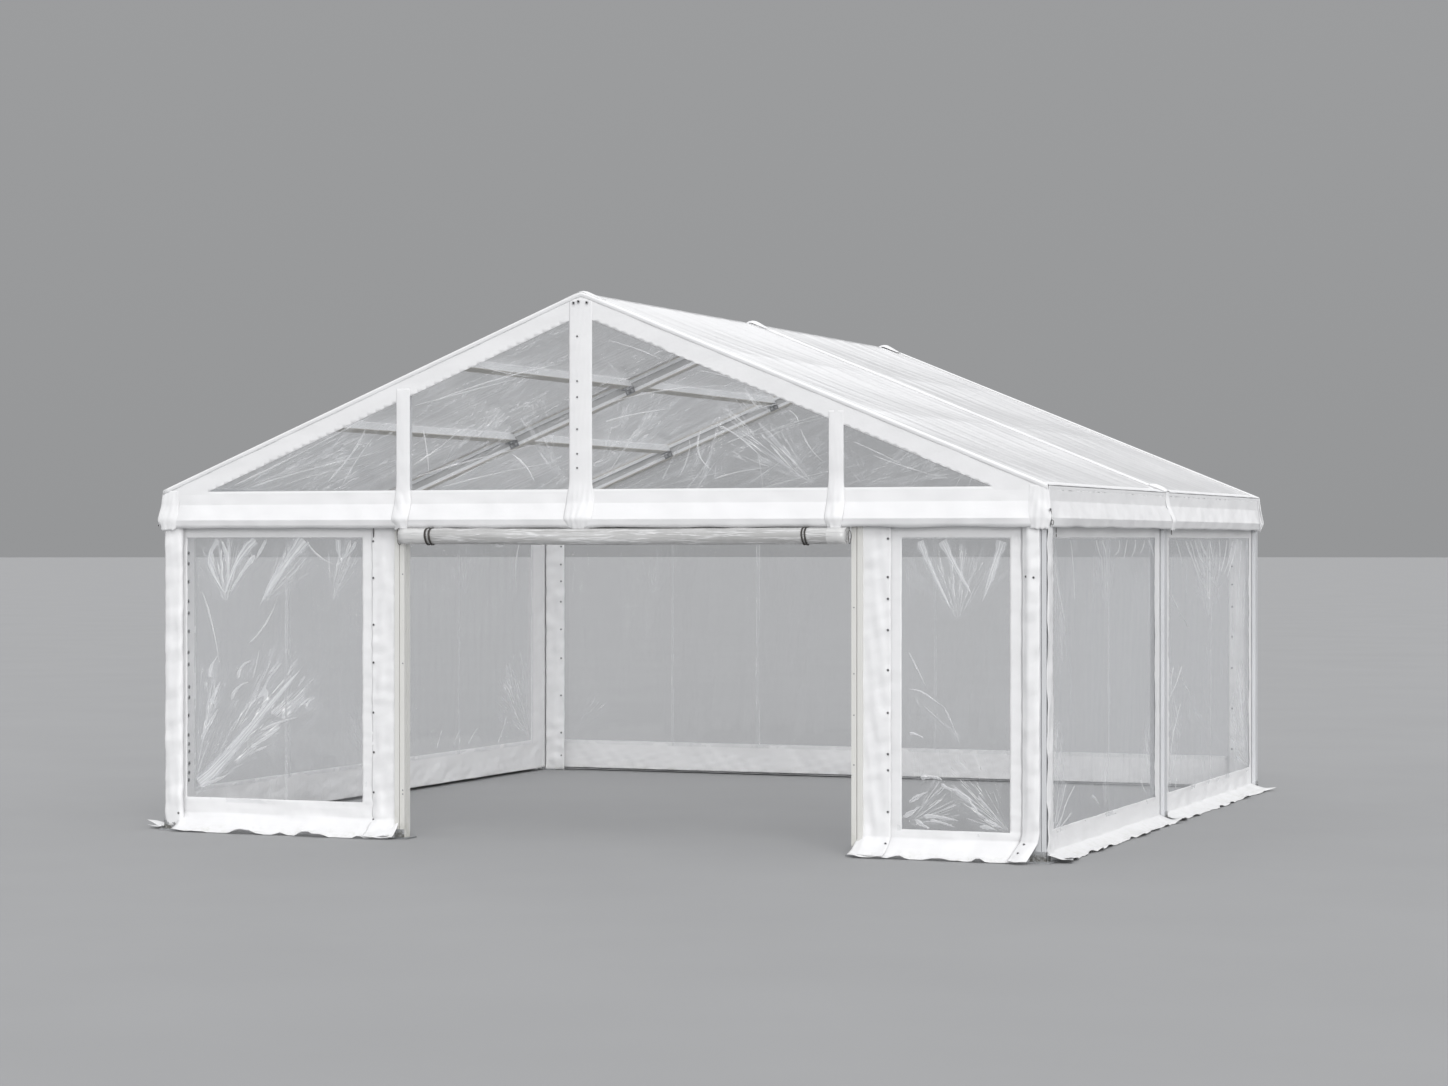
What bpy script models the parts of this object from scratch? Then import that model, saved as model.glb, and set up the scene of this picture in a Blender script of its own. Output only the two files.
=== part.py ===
# Frame marquee of two bays with clear walls and a clear roof, drawn at real size.
# Metres, +Z up, +X to the right of someone facing the door, +Y from the door to the back.
# The origin is the middle of the footprint, at ground level.

from math import acos, atan2, cos, pi, sin

import bmesh
import bpy
from mathutils import Vector

# Frame
HALF_SPAN = 3.0             # middle of the tent to the outer face of the side legs
HALF_LENGTH = 3.0           # middle of the tent to the outer face of the end frames
EAVE_HEIGHT = 2.23          # top of a rafter at the outer face of its leg
RIDGE_HEIGHT = 3.45         # top of the rafters where they meet
LEG_DEPTH = 0.10            # leg and rafter profile, measured in the plane of its frame
LEG_WIDTH = 0.08            # the same profile, measured along the tent
DOOR_POST_WIDTH = 0.07
UPRIGHT_WIDTH = 0.06
EAVE_BEAM_WIDTH = 0.06
EAVE_BEAM_DEPTH = 0.10
RAIL_DEPTH = 0.10           # gable rail over the door and across the back
RAIL_CLEARANCE = 0.0127     # between the rail and the rafters where they pass its ends
PURLIN_SIZE = 0.055
PURLINS_UP_SLOPE = {"lower": 1.20, "upper": 2.20}   # from the outer face of the leg
RIDGE_PURLIN_WIDTH = 0.07
RIDGE_PURLIN_DEPTH = 0.06
FLANGE = 0.028              # rafter edge strips above and below the sunk web
WEB_RECESS = 0.010
PLATE_THICKNESS = 0.008     # steel foot under each leg and door post
PLATE_MARGIN = 0.03

# Door and gable uprights, measured from the middle of the tent
DOOR_LEFT = -1.235
DOOR_RIGHT = 1.785
UPRIGHT_LEFT = -1.24
UPRIGHT_CENTRE = 0.0
UPRIGHT_RIGHT = 1.69

# Fabric
SHEET = 0.004               # drawn thickness of every sheet
FIT_GAP = 0.0003            # clearance between pieces that touch
WALL_INSET = 0.03           # outer face of a leg to the middle of the wall fabric
GROOVE_DEPTH = 0.012        # edge rope groove in the legs and door posts
TUCK = 0.008                # how far a wall's edge runs into that groove
WELD_LAP = 0.03             # clear sheet behind the white border round it
SKIRT = 0.14                # hem that lies out on the ground
HEAD_BORDER = 0.125         # white border between the gable rail and the head of the wall windows
SILL_BORDER = 0.025         # white border between the fascia and the sill of the gable windows
GABLE_BORDER = 0.14         # white border under the roof line, measured upright
COVER_WIDTH = 0.095         # white band over a gable upright
CENTRE_COVER_WIDTH = 0.155
ROOF_JOINT = 0.03           # strip of rafter left bare between the two roof sheets
GABLE_SHEET_LAP = 0.05      # clear gable sheet in front of the gable rail
FASCIA_DROP = 0.03          # the flat gable border ends this far below the eave
# Folds of the valance: how far below the eave, and how far it stands out from its top
VALANCE_FOLDS = ((0.09, 0.015), (0.19, 0.050), (0.24, 0.039))
ROLL_RADIUS = 0.0525
ROLL_DROP = 0.004           # under the valance
ROLL_LAP = 0.015            # over the left door post
ROLL_SHORT = 0.010          # short of the right door post
ROLL_SIDES = 24

# Wall borders: width of the white fabric at the first and last edge, and the window's sill
FRONT_LEFT_BORDERS = (0.05, 0.247, 0.22)
FRONT_RIGHT_BORDERS = (0.24, 0.13, 0.17)
LEFT_FRONT_BORDERS = (0.26, 0.15, 0.26)
LEFT_BACK_BORDERS = (0.17, 0.28, 0.26)
RIGHT_FRONT_BORDERS = (0.185, 0.146, 0.18)
RIGHT_BACK_BORDERS = (0.177, 0.09, 0.18)
BACK_BORDERS = (0.08, 0.08, 0.25)

# Values that follow from the sizes above
PITCH = atan2(RIDGE_HEIGHT - EAVE_HEIGHT, HALF_SPAN)
SLOPE = (RIDGE_HEIGHT - EAVE_HEIGHT) / HALF_SPAN
PORTAL_Y = HALF_LENGTH - LEG_WIDTH / 2
SIDE_WALL = HALF_SPAN - WALL_INSET
END_WALL = HALF_LENGTH - WALL_INSET
LEG_INNER = HALF_SPAN - LEG_DEPTH
EAVE_BEAM_FOOT = EAVE_HEIGHT - EAVE_BEAM_DEPTH
FASCIA_TOP = EAVE_HEIGHT - FASCIA_DROP
GABLE_SILL = FASCIA_TOP + SILL_BORDER
HEM_HEIGHT = PLATE_THICKNESS + FIT_GAP
FASCIA_OUT = 2 * FIT_GAP + 1.5 * SHEET      # frame face to the middle of the white fabric
ROOF_OVERHANG = FASCIA_OUT + SHEET / 2
CORNER_GAP = SHEET


def rafter_top(x):
    """Height of the top of the rafters at a distance from the middle."""
    return RIDGE_HEIGHT - SLOPE * abs(x)


def rafter_foot(x):
    """Height of the underside of the rafters."""
    return rafter_top(x) - LEG_DEPTH / cos(PITCH)


RAIL_TOP = rafter_foot(LEG_INNER) - RAIL_CLEARANCE
RAIL_FOOT = RAIL_TOP - RAIL_DEPTH
WINDOW_HEAD = RAIL_FOOT - HEAD_BORDER
GABLE_SHEET_FOOT = RAIL_TOP - GABLE_SHEET_LAP


def make_material(name, colour, roughness, metallic=0.0, alpha=1.0):
    material = bpy.data.materials.new(name)
    material.use_nodes = True
    shader = material.node_tree.nodes["Principled BSDF"]
    shader.inputs["Base Color"].default_value = (*colour, 1.0)
    shader.inputs["Roughness"].default_value = roughness
    shader.inputs["Metallic"].default_value = metallic
    shader.inputs["Alpha"].default_value = alpha
    material.diffuse_color = (*colour, alpha)
    return material


def mesh_from(bm, name):
    """Turns a finished bmesh into a mesh with its faces pointing out."""
    bmesh.ops.recalc_face_normals(bm, faces=bm.faces)
    mesh = bpy.data.meshes.new(name)
    bm.to_mesh(mesh)
    bm.free()
    return mesh


def place(name, mesh, material, location=(0, 0, 0), turned=False):
    """A named object that shows the mesh, turned half round for the other side of the tent."""
    if not mesh.materials:
        mesh.materials.append(material)
    piece = bpy.data.objects.new(name, mesh)
    piece.location = location
    piece.rotation_euler.z = pi if turned else 0
    bpy.context.scene.collection.objects.link(piece)
    return piece


def extruded(outline, along):
    """A bmesh solid: a flat outline of points, extruded by a vector."""
    bm = bmesh.new()
    face = bm.faces.new([bm.verts.new(point) for point in outline])
    made = bmesh.ops.extrude_face_region(bm, geom=[face])["geom"]
    moved = [item for item in made if isinstance(item, bmesh.types.BMVert)]
    bmesh.ops.translate(bm, verts=moved, vec=along)
    return bm


def pierced(outline, holes, spot, inner, outer):
    """A bmesh sheet with holes. spot(a, z, out) gives a point, from inner to outer in depth."""
    bm = bmesh.new()
    edges = []
    for loop in (outline, *holes):
        corners = [bm.verts.new(spot(a, z, inner)) for a, z in loop]
        edges += [bm.edges.new((corners[i - 1], corners[i])) for i in range(len(corners))]
    bmesh.ops.triangle_fill(bm, use_beauty=True, edges=edges)
    made = bmesh.ops.extrude_face_region(bm, geom=bm.faces[:])["geom"]
    moved = [item for item in made if isinstance(item, bmesh.types.BMVert)]
    bmesh.ops.translate(bm, verts=moved, vec=spot(0, 0, outer) - spot(0, 0, inner))
    bmesh.ops.recalc_face_normals(bm, faces=bm.faces)
    return bm


def lowest_face(bm, facing):
    """The lowest of the faces that point a given way."""
    bm.normal_update()
    looking = [face for face in bm.faces if face.normal.dot(facing) > 0.9]
    return min(looking, key=lambda face: face.calc_center_median().z)


def grow(bm, face, shift):
    """Extrudes one face of a solid by a vector, and gives back the corners that moved."""
    end = bmesh.ops.extrude_discrete_faces(bm, faces=[face])["faces"][0]
    bmesh.ops.translate(bm, verts=end.verts, vec=shift)
    return end.verts


def grooved_outline(width, depth, front_grooves):
    """A post's section with grooves for wall edges, those in its front and back at the given places."""
    corners = [Vector(c) for c in ((-width / 2, -depth / 2), (width / 2, -depth / 2),
                                   (width / 2, depth / 2), (-width / 2, depth / 2))]
    mouth = SHEET / 2 + FIT_GAP
    outline = []
    for i, start in enumerate(corners):
        run = corners[(i + 1) % 4] - start
        along = run.normalized()
        inward = Vector((-along.y, along.x)) * GROOVE_DEPTH
        outline.append(start)
        for centre in (WALL_INSET, depth - WALL_INSET) if i % 2 else front_grooves:
            near = start + along * (centre - mouth)
            far = start + along * (centre + mouth)
            outline += [near, near + inward, far + inward, far]
    return [(x, y, 0) for x, y in outline]


def post_mesh(name, width, front_grooves, top):
    """A post that stands in its foot plate, cut at the height that top(x) gives."""
    bm = extruded(grooved_outline(width, LEG_WIDTH, front_grooves), Vector((0, 0, EAVE_HEIGHT)))
    for corner in bm.verts:
        corner.co.z = top(corner.co.x) if corner.co.z > 0 else PLATE_THICKNESS / 2
    return mesh_from(bm, name)


def add_foot_plate(post, width):
    """Fuses a steel plate to the foot of a post."""
    bm = bmesh.new()
    bmesh.ops.create_cube(bm, size=1)
    size = (width + 2 * PLATE_MARGIN, LEG_WIDTH + 2 * PLATE_MARGIN, PLATE_THICKNESS)
    bmesh.ops.scale(bm, verts=bm.verts, vec=size)
    plate = place(post.name + "_plate", mesh_from(bm, "plate"), None)
    plate.location = post.location + Vector((0, 0, PLATE_THICKNESS / 2))
    plate.hide_render = True
    plate.display_type = "WIRE"
    joint = post.modifiers.new("foot", "BOOLEAN")
    joint.operation = "UNION"
    joint.object = plate


def build_posts():
    leg_centre = HALF_SPAN - LEG_DEPTH / 2
    leg_grooves = (WALL_INSET, LEG_DEPTH - WALL_INSET)
    leg = post_mesh("leg", LEG_DEPTH, leg_grooves, lambda x: rafter_foot(leg_centre + x) - FIT_GAP)
    door_post = post_mesh("door_post", DOOR_POST_WIDTH, (DOOR_POST_WIDTH / 2,), lambda x: RAIL_FOOT - FIT_GAP)
    for row, y in (("front", -PORTAL_Y), ("middle", 0), ("back", PORTAL_Y)):
        for side, sign in (("left", -1), ("right", 1)):
            post = place(f"leg_{row}_{side}", leg, aluminium, (sign * leg_centre, y, 0), sign < 0)
            add_foot_plate(post, LEG_DEPTH)
    for side, x in (("left", DOOR_LEFT - DOOR_POST_WIDTH / 2), ("right", DOOR_RIGHT + DOOR_POST_WIDTH / 2)):
        post = place(f"door_post_{side}", door_post, aluminium, (x, -PORTAL_Y, 0))
        add_foot_plate(post, DOOR_POST_WIDTH)


def build_rafters():
    half = LEG_WIDTH / 2
    web = half - WEB_RECESS
    deep = LEG_DEPTH / cos(PITCH)
    flange = FLANGE / cos(PITCH)
    side = [(half, 0), (half, -flange), (web, -flange),
            (web, flange - deep), (half, flange - deep), (half, -deep)]
    section = side + [(-y, z) for y, z in reversed(side)]
    bm = extruded([(FIT_GAP / 2, y, z) for y, z in section], Vector((HALF_SPAN - FIT_GAP / 2, 0, 0)))
    for corner in bm.verts:
        corner.co.z += rafter_top(corner.co.x)
    rafter = mesh_from(bm, "rafter")
    for row, y in (("front", -PORTAL_Y), ("middle", 0), ("back", PORTAL_Y)):
        place(f"rafter_{row}_left", rafter, aluminium, (0, y, 0), True)
        place(f"rafter_{row}_right", rafter, aluminium, (0, y, 0))


def build_purlins():
    """The bars that run along the tent between its frames: purlins, ridge and eaves."""
    length = PORTAL_Y - LEG_WIDTH - 2 * FIT_GAP
    bars = {}
    for name, up_slope in PURLINS_UP_SLOPE.items():
        x = HALF_SPAN - up_slope * cos(PITCH)
        corner = Vector((x, -length / 2, rafter_top(x)))
        down = Vector((cos(PITCH), 0, -sin(PITCH))) * PURLIN_SIZE / 2
        deep = Vector((-sin(PITCH), 0, -cos(PITCH))) * PURLIN_SIZE
        bars[f"purlin_{name}"] = [corner - down, corner + down, corner + down + deep, corner - down + deep]
    outer = HALF_SPAN
    inner = HALF_SPAN - EAVE_BEAM_WIDTH
    eave = ((outer, rafter_top(outer)), (inner, rafter_top(inner)),
            (inner, EAVE_BEAM_FOOT), (outer, EAVE_BEAM_FOOT))
    bars["eave_beam"] = [Vector((x, -length / 2, z)) for x, z in eave]
    half = RIDGE_PURLIN_WIDTH / 2
    foot = rafter_top(0) - RIDGE_PURLIN_DEPTH
    ridge = ((-half, rafter_top(half)), (0, rafter_top(0)), (half, rafter_top(half)),
             (half, foot), (-half, foot))
    bars["ridge_purlin"] = [Vector((x, -length / 2, z)) for x, z in ridge]
    for name, section in bars.items():
        mesh = mesh_from(extruded(section, Vector((0, length, 0))), name)
        for row, y in (("front", -PORTAL_Y / 2), ("back", PORTAL_Y / 2)):
            if name == "ridge_purlin":
                place(f"{name}_{row}", mesh, aluminium, (0, y, 0))
                continue
            place(f"{name}_{row}_left", mesh, aluminium, (0, y, 0), True)
            place(f"{name}_{row}_right", mesh, aluminium, (0, y, 0))


def build_gable_frame():
    half = LEG_INNER - FIT_GAP
    rail = [(-half, y, z) for y, z in ((-LEG_WIDTH / 2, RAIL_FOOT), (LEG_WIDTH / 2, RAIL_FOOT),
                                       (LEG_WIDTH / 2, RAIL_TOP), (-LEG_WIDTH / 2, RAIL_TOP))]
    rail = mesh_from(extruded(rail, Vector((2 * half, 0, 0))), "gable_rail")
    place("gable_rail_front", rail, aluminium, (0, -PORTAL_Y, 0))
    place("gable_rail_back", rail, aluminium, (0, PORTAL_Y, 0))
    for side, middle in (("left", UPRIGHT_LEFT), ("centre", UPRIGHT_CENTRE), ("right", UPRIGHT_RIGHT)):
        left, right = middle - UPRIGHT_WIDTH / 2, middle + UPRIGHT_WIDTH / 2
        front, back = -HALF_LENGTH, UPRIGHT_WIDTH - HALF_LENGTH
        foot = RAIL_TOP + FIT_GAP
        square = ((left, front), (right, front), (right, back), (left, back))
        bm = extruded([(x, y, foot) for x, y in square], Vector((0, 0, RIDGE_HEIGHT)))
        for corner in bm.verts:
            if corner.co.z > RIDGE_HEIGHT:
                corner.co.z = rafter_foot(corner.co.x) - FIT_GAP
        place(f"gable_upright_{side}", mesh_from(bm, "upright"), aluminium)


def build_roof():
    edge = HALF_SPAN + ROOF_OVERHANG
    under = FIT_GAP / cos(PITCH)
    over = (FIT_GAP + SHEET) / cos(PITCH)
    near = -HALF_LENGTH - ROOF_OVERHANG
    far = -ROOF_JOINT / 2
    line = [(-edge, under), (0, under), (edge, under), (edge, over), (0, over), (-edge, over)]
    outline = [(x, near, rafter_top(x) + rise) for x, rise in line]
    sheet = mesh_from(extruded(outline, Vector((0, far - near, 0))), "roof_sheet")
    place("roof_sheet_front", sheet, clear_pvc)
    place("roof_sheet_back", sheet, clear_pvc, turned=True)


def valance_levels():
    """Height and standing-out of each fold below the flat top of the valance."""
    return [(EAVE_HEIGHT - drop, FASCIA_OUT + out) for drop, out in VALANCE_FOLDS]


def build_side_valances():
    """White strips under the eaves, one to a bay, mitred where they meet the gable's."""
    top = rafter_top(HALF_SPAN + ROOF_OVERHANG)
    levels = [(top, FASCIA_OUT), (FASCIA_TOP, FASCIA_OUT), *valance_levels()]
    outer = [(HALF_SPAN + out + SHEET / 2, z) for z, out in levels]
    inner = [(HALF_SPAN + out - SHEET / 2, z) for z, out in reversed(levels)]
    joint = ROOF_JOINT / 2
    for corner_end, names in ((-1, ("front_right", "back_left")), (1, ("back_right", "front_left"))):
        outline = [(x, corner_end * joint, z) for x, z in outer + inner]
        bm = extruded(outline, Vector((0, corner_end * HALF_LENGTH, 0)))
        for corner in bm.verts:
            if abs(corner.co.y) > HALF_LENGTH:
                stands_out = corner.co.x - HALF_SPAN
                corner.co.y = corner_end * (HALF_LENGTH + stands_out - CORNER_GAP)
        mesh = mesh_from(bm, "valance")
        place(f"valance_{names[0]}", mesh, white_pvc)
        place(f"valance_{names[1]}", mesh, white_pvc, turned=True)


def gable_window_outlines(covers):
    """Openings between the covers, under a border of even height below the roof line."""
    def head(x):
        return rafter_top(x) - GABLE_BORDER

    tip = (RIDGE_HEIGHT - GABLE_BORDER - GABLE_SILL) / SLOPE
    edges = [-tip, *(x for middle, width in covers for x in (middle - width / 2, middle + width / 2)), tip]
    outlines = []
    for left, right in zip(edges[::2], edges[1::2]):
        outline = [(left, GABLE_SILL), (right, GABLE_SILL)]
        crossing = [0] if left < 0 < right else []
        outline += [(x, head(x)) for x in (right, *crossing, left) if head(x) > GABLE_SILL + FIT_GAP]
        outlines.append(outline)
    return outlines


def build_gables():
    """White border and clear sheet that close each end under the roof."""
    covers = ((UPRIGHT_LEFT, COVER_WIDTH), (UPRIGHT_CENTRE, CENTRE_COVER_WIDTH), (UPRIGHT_RIGHT, COVER_WIDTH))
    flat_edge = HALF_SPAN + FASCIA_OUT - CORNER_GAP
    for end, sign, bands in (("front", -1, covers), ("back", 1, ())):
        def spot(a, z, out):
            return Vector((a, sign * (HALF_LENGTH + out), z))

        outline = [(-flat_edge, FASCIA_TOP), (flat_edge, FASCIA_TOP), (flat_edge, rafter_top(flat_edge)),
                   (0, rafter_top(0)), (-flat_edge, rafter_top(flat_edge))]
        windows = gable_window_outlines(bands)
        bm = pierced(outline, windows, spot, FASCIA_OUT - SHEET / 2, FASCIA_OUT + SHEET / 2)
        before = FASCIA_OUT
        for z, out in valance_levels():
            face = lowest_face(bm, Vector((0, 0, -1)))
            corners = grow(bm, face, Vector((0, sign * (out - before), 0)))
            for corner in corners:
                corner.co.z = z
                corner.co.x += (1 if corner.co.x > 0 else -1) * (out - before)
            before = out
        place(f"gable_border_{end}", mesh_from(bm, "gable_border"), white_pvc)
        edge = HALF_SPAN - WELD_LAP
        sheet = [(-edge, GABLE_SHEET_FOOT), (edge, GABLE_SHEET_FOOT), (edge, rafter_top(edge)),
                 (0, rafter_top(0)), (-edge, rafter_top(edge))]
        bm = pierced(sheet, (), spot, FIT_GAP, FIT_GAP + SHEET)
        place(f"gable_window_{end}", mesh_from(bm, "gable_window"), clear_pvc)


def build_wall(name, first, last, head, borders, spot):
    """A wall between two posts: a white border with a hem that turns out, and its clear window."""
    first_border, last_border, sill = borders
    skirt_top = HEM_HEIGHT + SHEET
    step = skirt_top + SHEET
    left, right = first + FIT_GAP, last - FIT_GAP
    outline = [(left, skirt_top), (right, skirt_top), (right, step), (last + TUCK, step), (last + TUCK, head),
               (first - TUCK, head), (first - TUCK, step), (left, step)]
    low, high = first + first_border, last - last_border
    window = [(low, sill), (high, sill), (high, WINDOW_HEAD), (low, WINDOW_HEAD)]
    bm = pierced(outline, [window], spot, -SHEET / 2, SHEET / 2)
    grow(bm, lowest_face(bm, Vector((0, 0, -1))), Vector((0, 0, -SHEET)))
    outward = spot(0, 0, 1) - spot(0, 0, 0)
    grow(bm, lowest_face(bm, outward), outward * SKIRT)
    place(f"wall_border_{name}", mesh_from(bm, "wall_border"), white_pvc)
    low, high, foot, top = low - WELD_LAP, high + WELD_LAP, sill - WELD_LAP, WINDOW_HEAD + WELD_LAP
    sheet = [(low, foot), (high, foot), (high, top), (low, top)]
    depth = -SHEET / 2 - FIT_GAP
    bm = pierced(sheet, (), spot, depth - SHEET, depth)
    place(f"wall_window_{name}", mesh_from(bm, "wall_window"), clear_pvc)


def build_walls():
    def front(a, z, out):
        return Vector((a, -END_WALL - out, z))

    def back(a, z, out):
        return Vector((a, END_WALL + out, z))

    def left(a, z, out):
        return Vector((-SIDE_WALL - out, a, z))

    def right(a, z, out):
        return Vector((SIDE_WALL + out, a, z))

    rail = RAIL_FOOT - FIT_GAP
    beam = EAVE_BEAM_FOOT - FIT_GAP
    near, far = LEG_WIDTH / 2, PORTAL_Y - LEG_WIDTH / 2
    build_wall("front_left", -LEG_INNER, DOOR_LEFT - DOOR_POST_WIDTH, rail, FRONT_LEFT_BORDERS, front)
    build_wall("front_right", DOOR_RIGHT + DOOR_POST_WIDTH, LEG_INNER, rail, FRONT_RIGHT_BORDERS, front)
    build_wall("back", -LEG_INNER, LEG_INNER, rail, BACK_BORDERS, back)
    build_wall("left_front", -far, -near, beam, LEFT_FRONT_BORDERS, left)
    build_wall("left_back", near, far, beam, LEFT_BACK_BORDERS, left)
    build_wall("right_front", -far, -near, beam, RIGHT_FRONT_BORDERS, right)
    build_wall("right_back", near, far, beam, RIGHT_BACK_BORDERS, right)


def build_rolled_door():
    """The clear door, rolled up under the valance, with the rest of its sheet up to the rail."""
    centre_y = -HALF_LENGTH - FIT_GAP - ROLL_RADIUS
    centre_z = EAVE_HEIGHT - VALANCE_FOLDS[-1][0] - ROLL_DROP - ROLL_RADIUS
    meets_sheet = acos(1 - SHEET / ROLL_RADIUS)
    turn = 2 * pi - meets_sheet
    angles = [-turn * i / ROLL_SIDES for i in range(ROLL_SIDES + 1)]
    arc = [(centre_y + ROLL_RADIUS * cos(a), centre_z + ROLL_RADIUS * sin(a)) for a in angles]
    top = GABLE_SHEET_FOOT - FIT_GAP
    inner = -HALF_LENGTH - FIT_GAP
    outline = [(inner, top), *arc, (inner - SHEET, top)]
    start = DOOR_LEFT - ROLL_LAP
    end = DOOR_RIGHT - ROLL_SHORT
    bm = extruded([(start, y, z) for y, z in outline], Vector((end - start, 0, 0)))
    place("rolled_door", mesh_from(bm, "rolled_door"), clear_pvc)


for old in list(bpy.data.objects):
    bpy.data.objects.remove(old)
aluminium = make_material("aluminium", (0.55, 0.56, 0.58), 0.42, metallic=0.9)
white_pvc = make_material("white_pvc", (0.86, 0.87, 0.88), 0.45)
clear_pvc = make_material("clear_pvc", (0.80, 0.84, 0.86), 0.12, alpha=0.3)
build_posts()
build_rafters()
build_purlins()
build_gable_frame()
build_roof()
build_side_valances()
build_gables()
build_walls()
build_rolled_door()
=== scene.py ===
import random
from math import atan2, cos, pi, radians, sin

import bmesh
import bpy
import numpy as np
from mathutils import Matrix, Vector


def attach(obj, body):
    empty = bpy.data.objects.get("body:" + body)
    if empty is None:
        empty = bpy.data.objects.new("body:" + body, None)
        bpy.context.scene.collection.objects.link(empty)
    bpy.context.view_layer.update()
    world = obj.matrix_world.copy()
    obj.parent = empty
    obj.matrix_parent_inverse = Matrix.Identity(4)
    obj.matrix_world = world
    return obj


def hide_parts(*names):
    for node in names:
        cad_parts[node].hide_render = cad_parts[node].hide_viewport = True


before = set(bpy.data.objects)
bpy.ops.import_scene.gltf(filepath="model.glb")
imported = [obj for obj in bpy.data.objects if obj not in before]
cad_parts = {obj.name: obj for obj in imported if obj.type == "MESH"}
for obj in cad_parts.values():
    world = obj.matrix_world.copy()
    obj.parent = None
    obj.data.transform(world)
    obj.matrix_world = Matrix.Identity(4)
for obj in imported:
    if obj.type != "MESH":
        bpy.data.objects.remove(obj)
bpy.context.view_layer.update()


# Camera, floor and light
# The camera stands where the photograph was taken from. A plain pale floor lies under an even sky that is
# brighter overhead. One wide soft lamp stands high in front of the tent, and a fainter one lower down.

scene = bpy.context.scene
camera = bpy.data.objects.new("camera", bpy.data.cameras.new("camera"))
camera.location = (7.999, -20.906, 1.889)
camera.rotation_euler = (pi / 2, 0, 0.3746)
camera.data.lens = 78.0
camera.data.clip_end = 900
scene.collection.objects.link(camera)
scene.camera = camera
scene.view_settings.view_transform = "Standard"

FLOOR_REACH = 400
bm = bmesh.new()
bmesh.ops.create_circle(bm, cap_ends=True, segments=64, radius=FLOOR_REACH)
bmesh.ops.translate(bm, verts=bm.verts, vec=(0, 0, -0.001))
floor = bpy.data.objects.new("floor", bpy.data.meshes.new("floor"))
bm.to_mesh(floor.data)
bm.free()
scene.collection.objects.link(floor)

for name, energy, angle, toward in (("high_lamp", 0.68, 30, (0.35, -0.80, 1.0)),
                                    ("low_lamp", 1.18, 24, (0.70, -1.0, 0.19))):
    lamp = bpy.data.objects.new(name, bpy.data.lights.new(name, "SUN"))
    lamp.data.energy = energy
    lamp.data.angle = radians(angle)
    lamp.rotation_euler = Vector(toward).to_track_quat("Z", "Y").to_euler()
    scene.collection.objects.link(lamp)


class Shade:
    """A value in a node tree. Sums on it add Math nodes, and add() puts in any other node."""

    def __init__(self, socket):
        self.socket = socket

    def add(self, kind, settings=None, sockets=None, output=0):
        """A new node: its settings first, then the values or links of its sockets."""
        node = self.socket.id_data.nodes.new("ShaderNode" + kind)
        for key, value in (settings or {}).items():
            if key == "stops":
                for place, colour in value[2:]:
                    node.color_ramp.elements.new(place)
                for stop, (place, colour) in zip(node.color_ramp.elements, sorted(value)):
                    stop.position, stop.color = place, (*colour, 1)
            else:
                setattr(node, key, value)
        self.feed(node, sockets or {})
        return Shade(node.outputs[output])

    def feed(self, node, sockets):
        for key, value in sockets.items():
            if isinstance(value, Shade):
                self.socket.id_data.links.new(value.socket, node.inputs[key])
            elif isinstance(value, tuple) and node.inputs[key].type == "RGBA":
                node.inputs[key].default_value = (*value, 1)
            else:
                node.inputs[key].default_value = value

    def sum(self, operation, *values):
        return self.add("Math", {"operation": operation}, dict(enumerate(values)))

    def __add__(self, other):
        return self.sum("ADD", self, other)

    def __sub__(self, other):
        return self.sum("SUBTRACT", self, other)

    def __rsub__(self, other):
        return self.sum("SUBTRACT", other, self)

    def __mul__(self, other):
        return self.sum("MULTIPLY", self, other)

    def __rtruediv__(self, other):
        return self.sum("DIVIDE", other, self)

    def __pow__(self, other):
        return self.sum("POWER", self, other)

    def __abs__(self):
        return self.sum("ABSOLUTE", self)

    __radd__ = __add__
    __rmul__ = __mul__

    def rise(self, low, high):
        """0 below low, 1 above high, and a smooth rise between them."""
        return self.add("MapRange", {"interpolation_type": "SMOOTHSTEP"}, {0: self, 1: low, 2: high})

    def blend(self, first, second):
        """A colour between two, by this value."""
        return self.add("Mix", {"data_type": "RGBA"}, {0: self, 6: first, 7: second}, 2)

    def axis(self, number):
        """The x, y or z of these coordinates, as 0, 1 or 2."""
        return self.add("SeparateXYZ", {}, {0: self}, number)

    def noise(self, scale, detail=3.0, roughness=0.5):
        sockets = {"Vector": self, "Scale": scale, "Detail": detail, "Roughness": roughness}
        return self.add("TexNoise", {}, sockets)

    def drawn_out(self, scale, angles=(0, 0, 0)):
        """These coordinates turned by angles, then scaled along each axis."""
        turned = self.add("Mapping", {}, {"Vector": self, "Rotation": angles})
        return self.add("VectorMath", {"operation": "MULTIPLY"}, {0: turned, 1: scale})

    def bump(self, distance):
        return self.add("Bump", {}, {"Height": self, "Distance": distance})


def new_finish(name):
    """A material, its Principled shader, and the place of each point on it in metres."""
    material = bpy.data.materials.new(name)
    material.use_nodes = True
    place = Shade(material.node_tree.nodes.new("ShaderNodeTexCoord").outputs["Object"])
    return material, material.node_tree.nodes["Principled BSDF"], place


material, shader, place = new_finish("studio_floor")
place.feed(shader, {"Base Color": place.noise(0.6).blend((0.30, 0.303, 0.307), (0.335, 0.338, 0.342)),
                    "Roughness": 0.8})
floor.data.materials.append(material)

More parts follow.
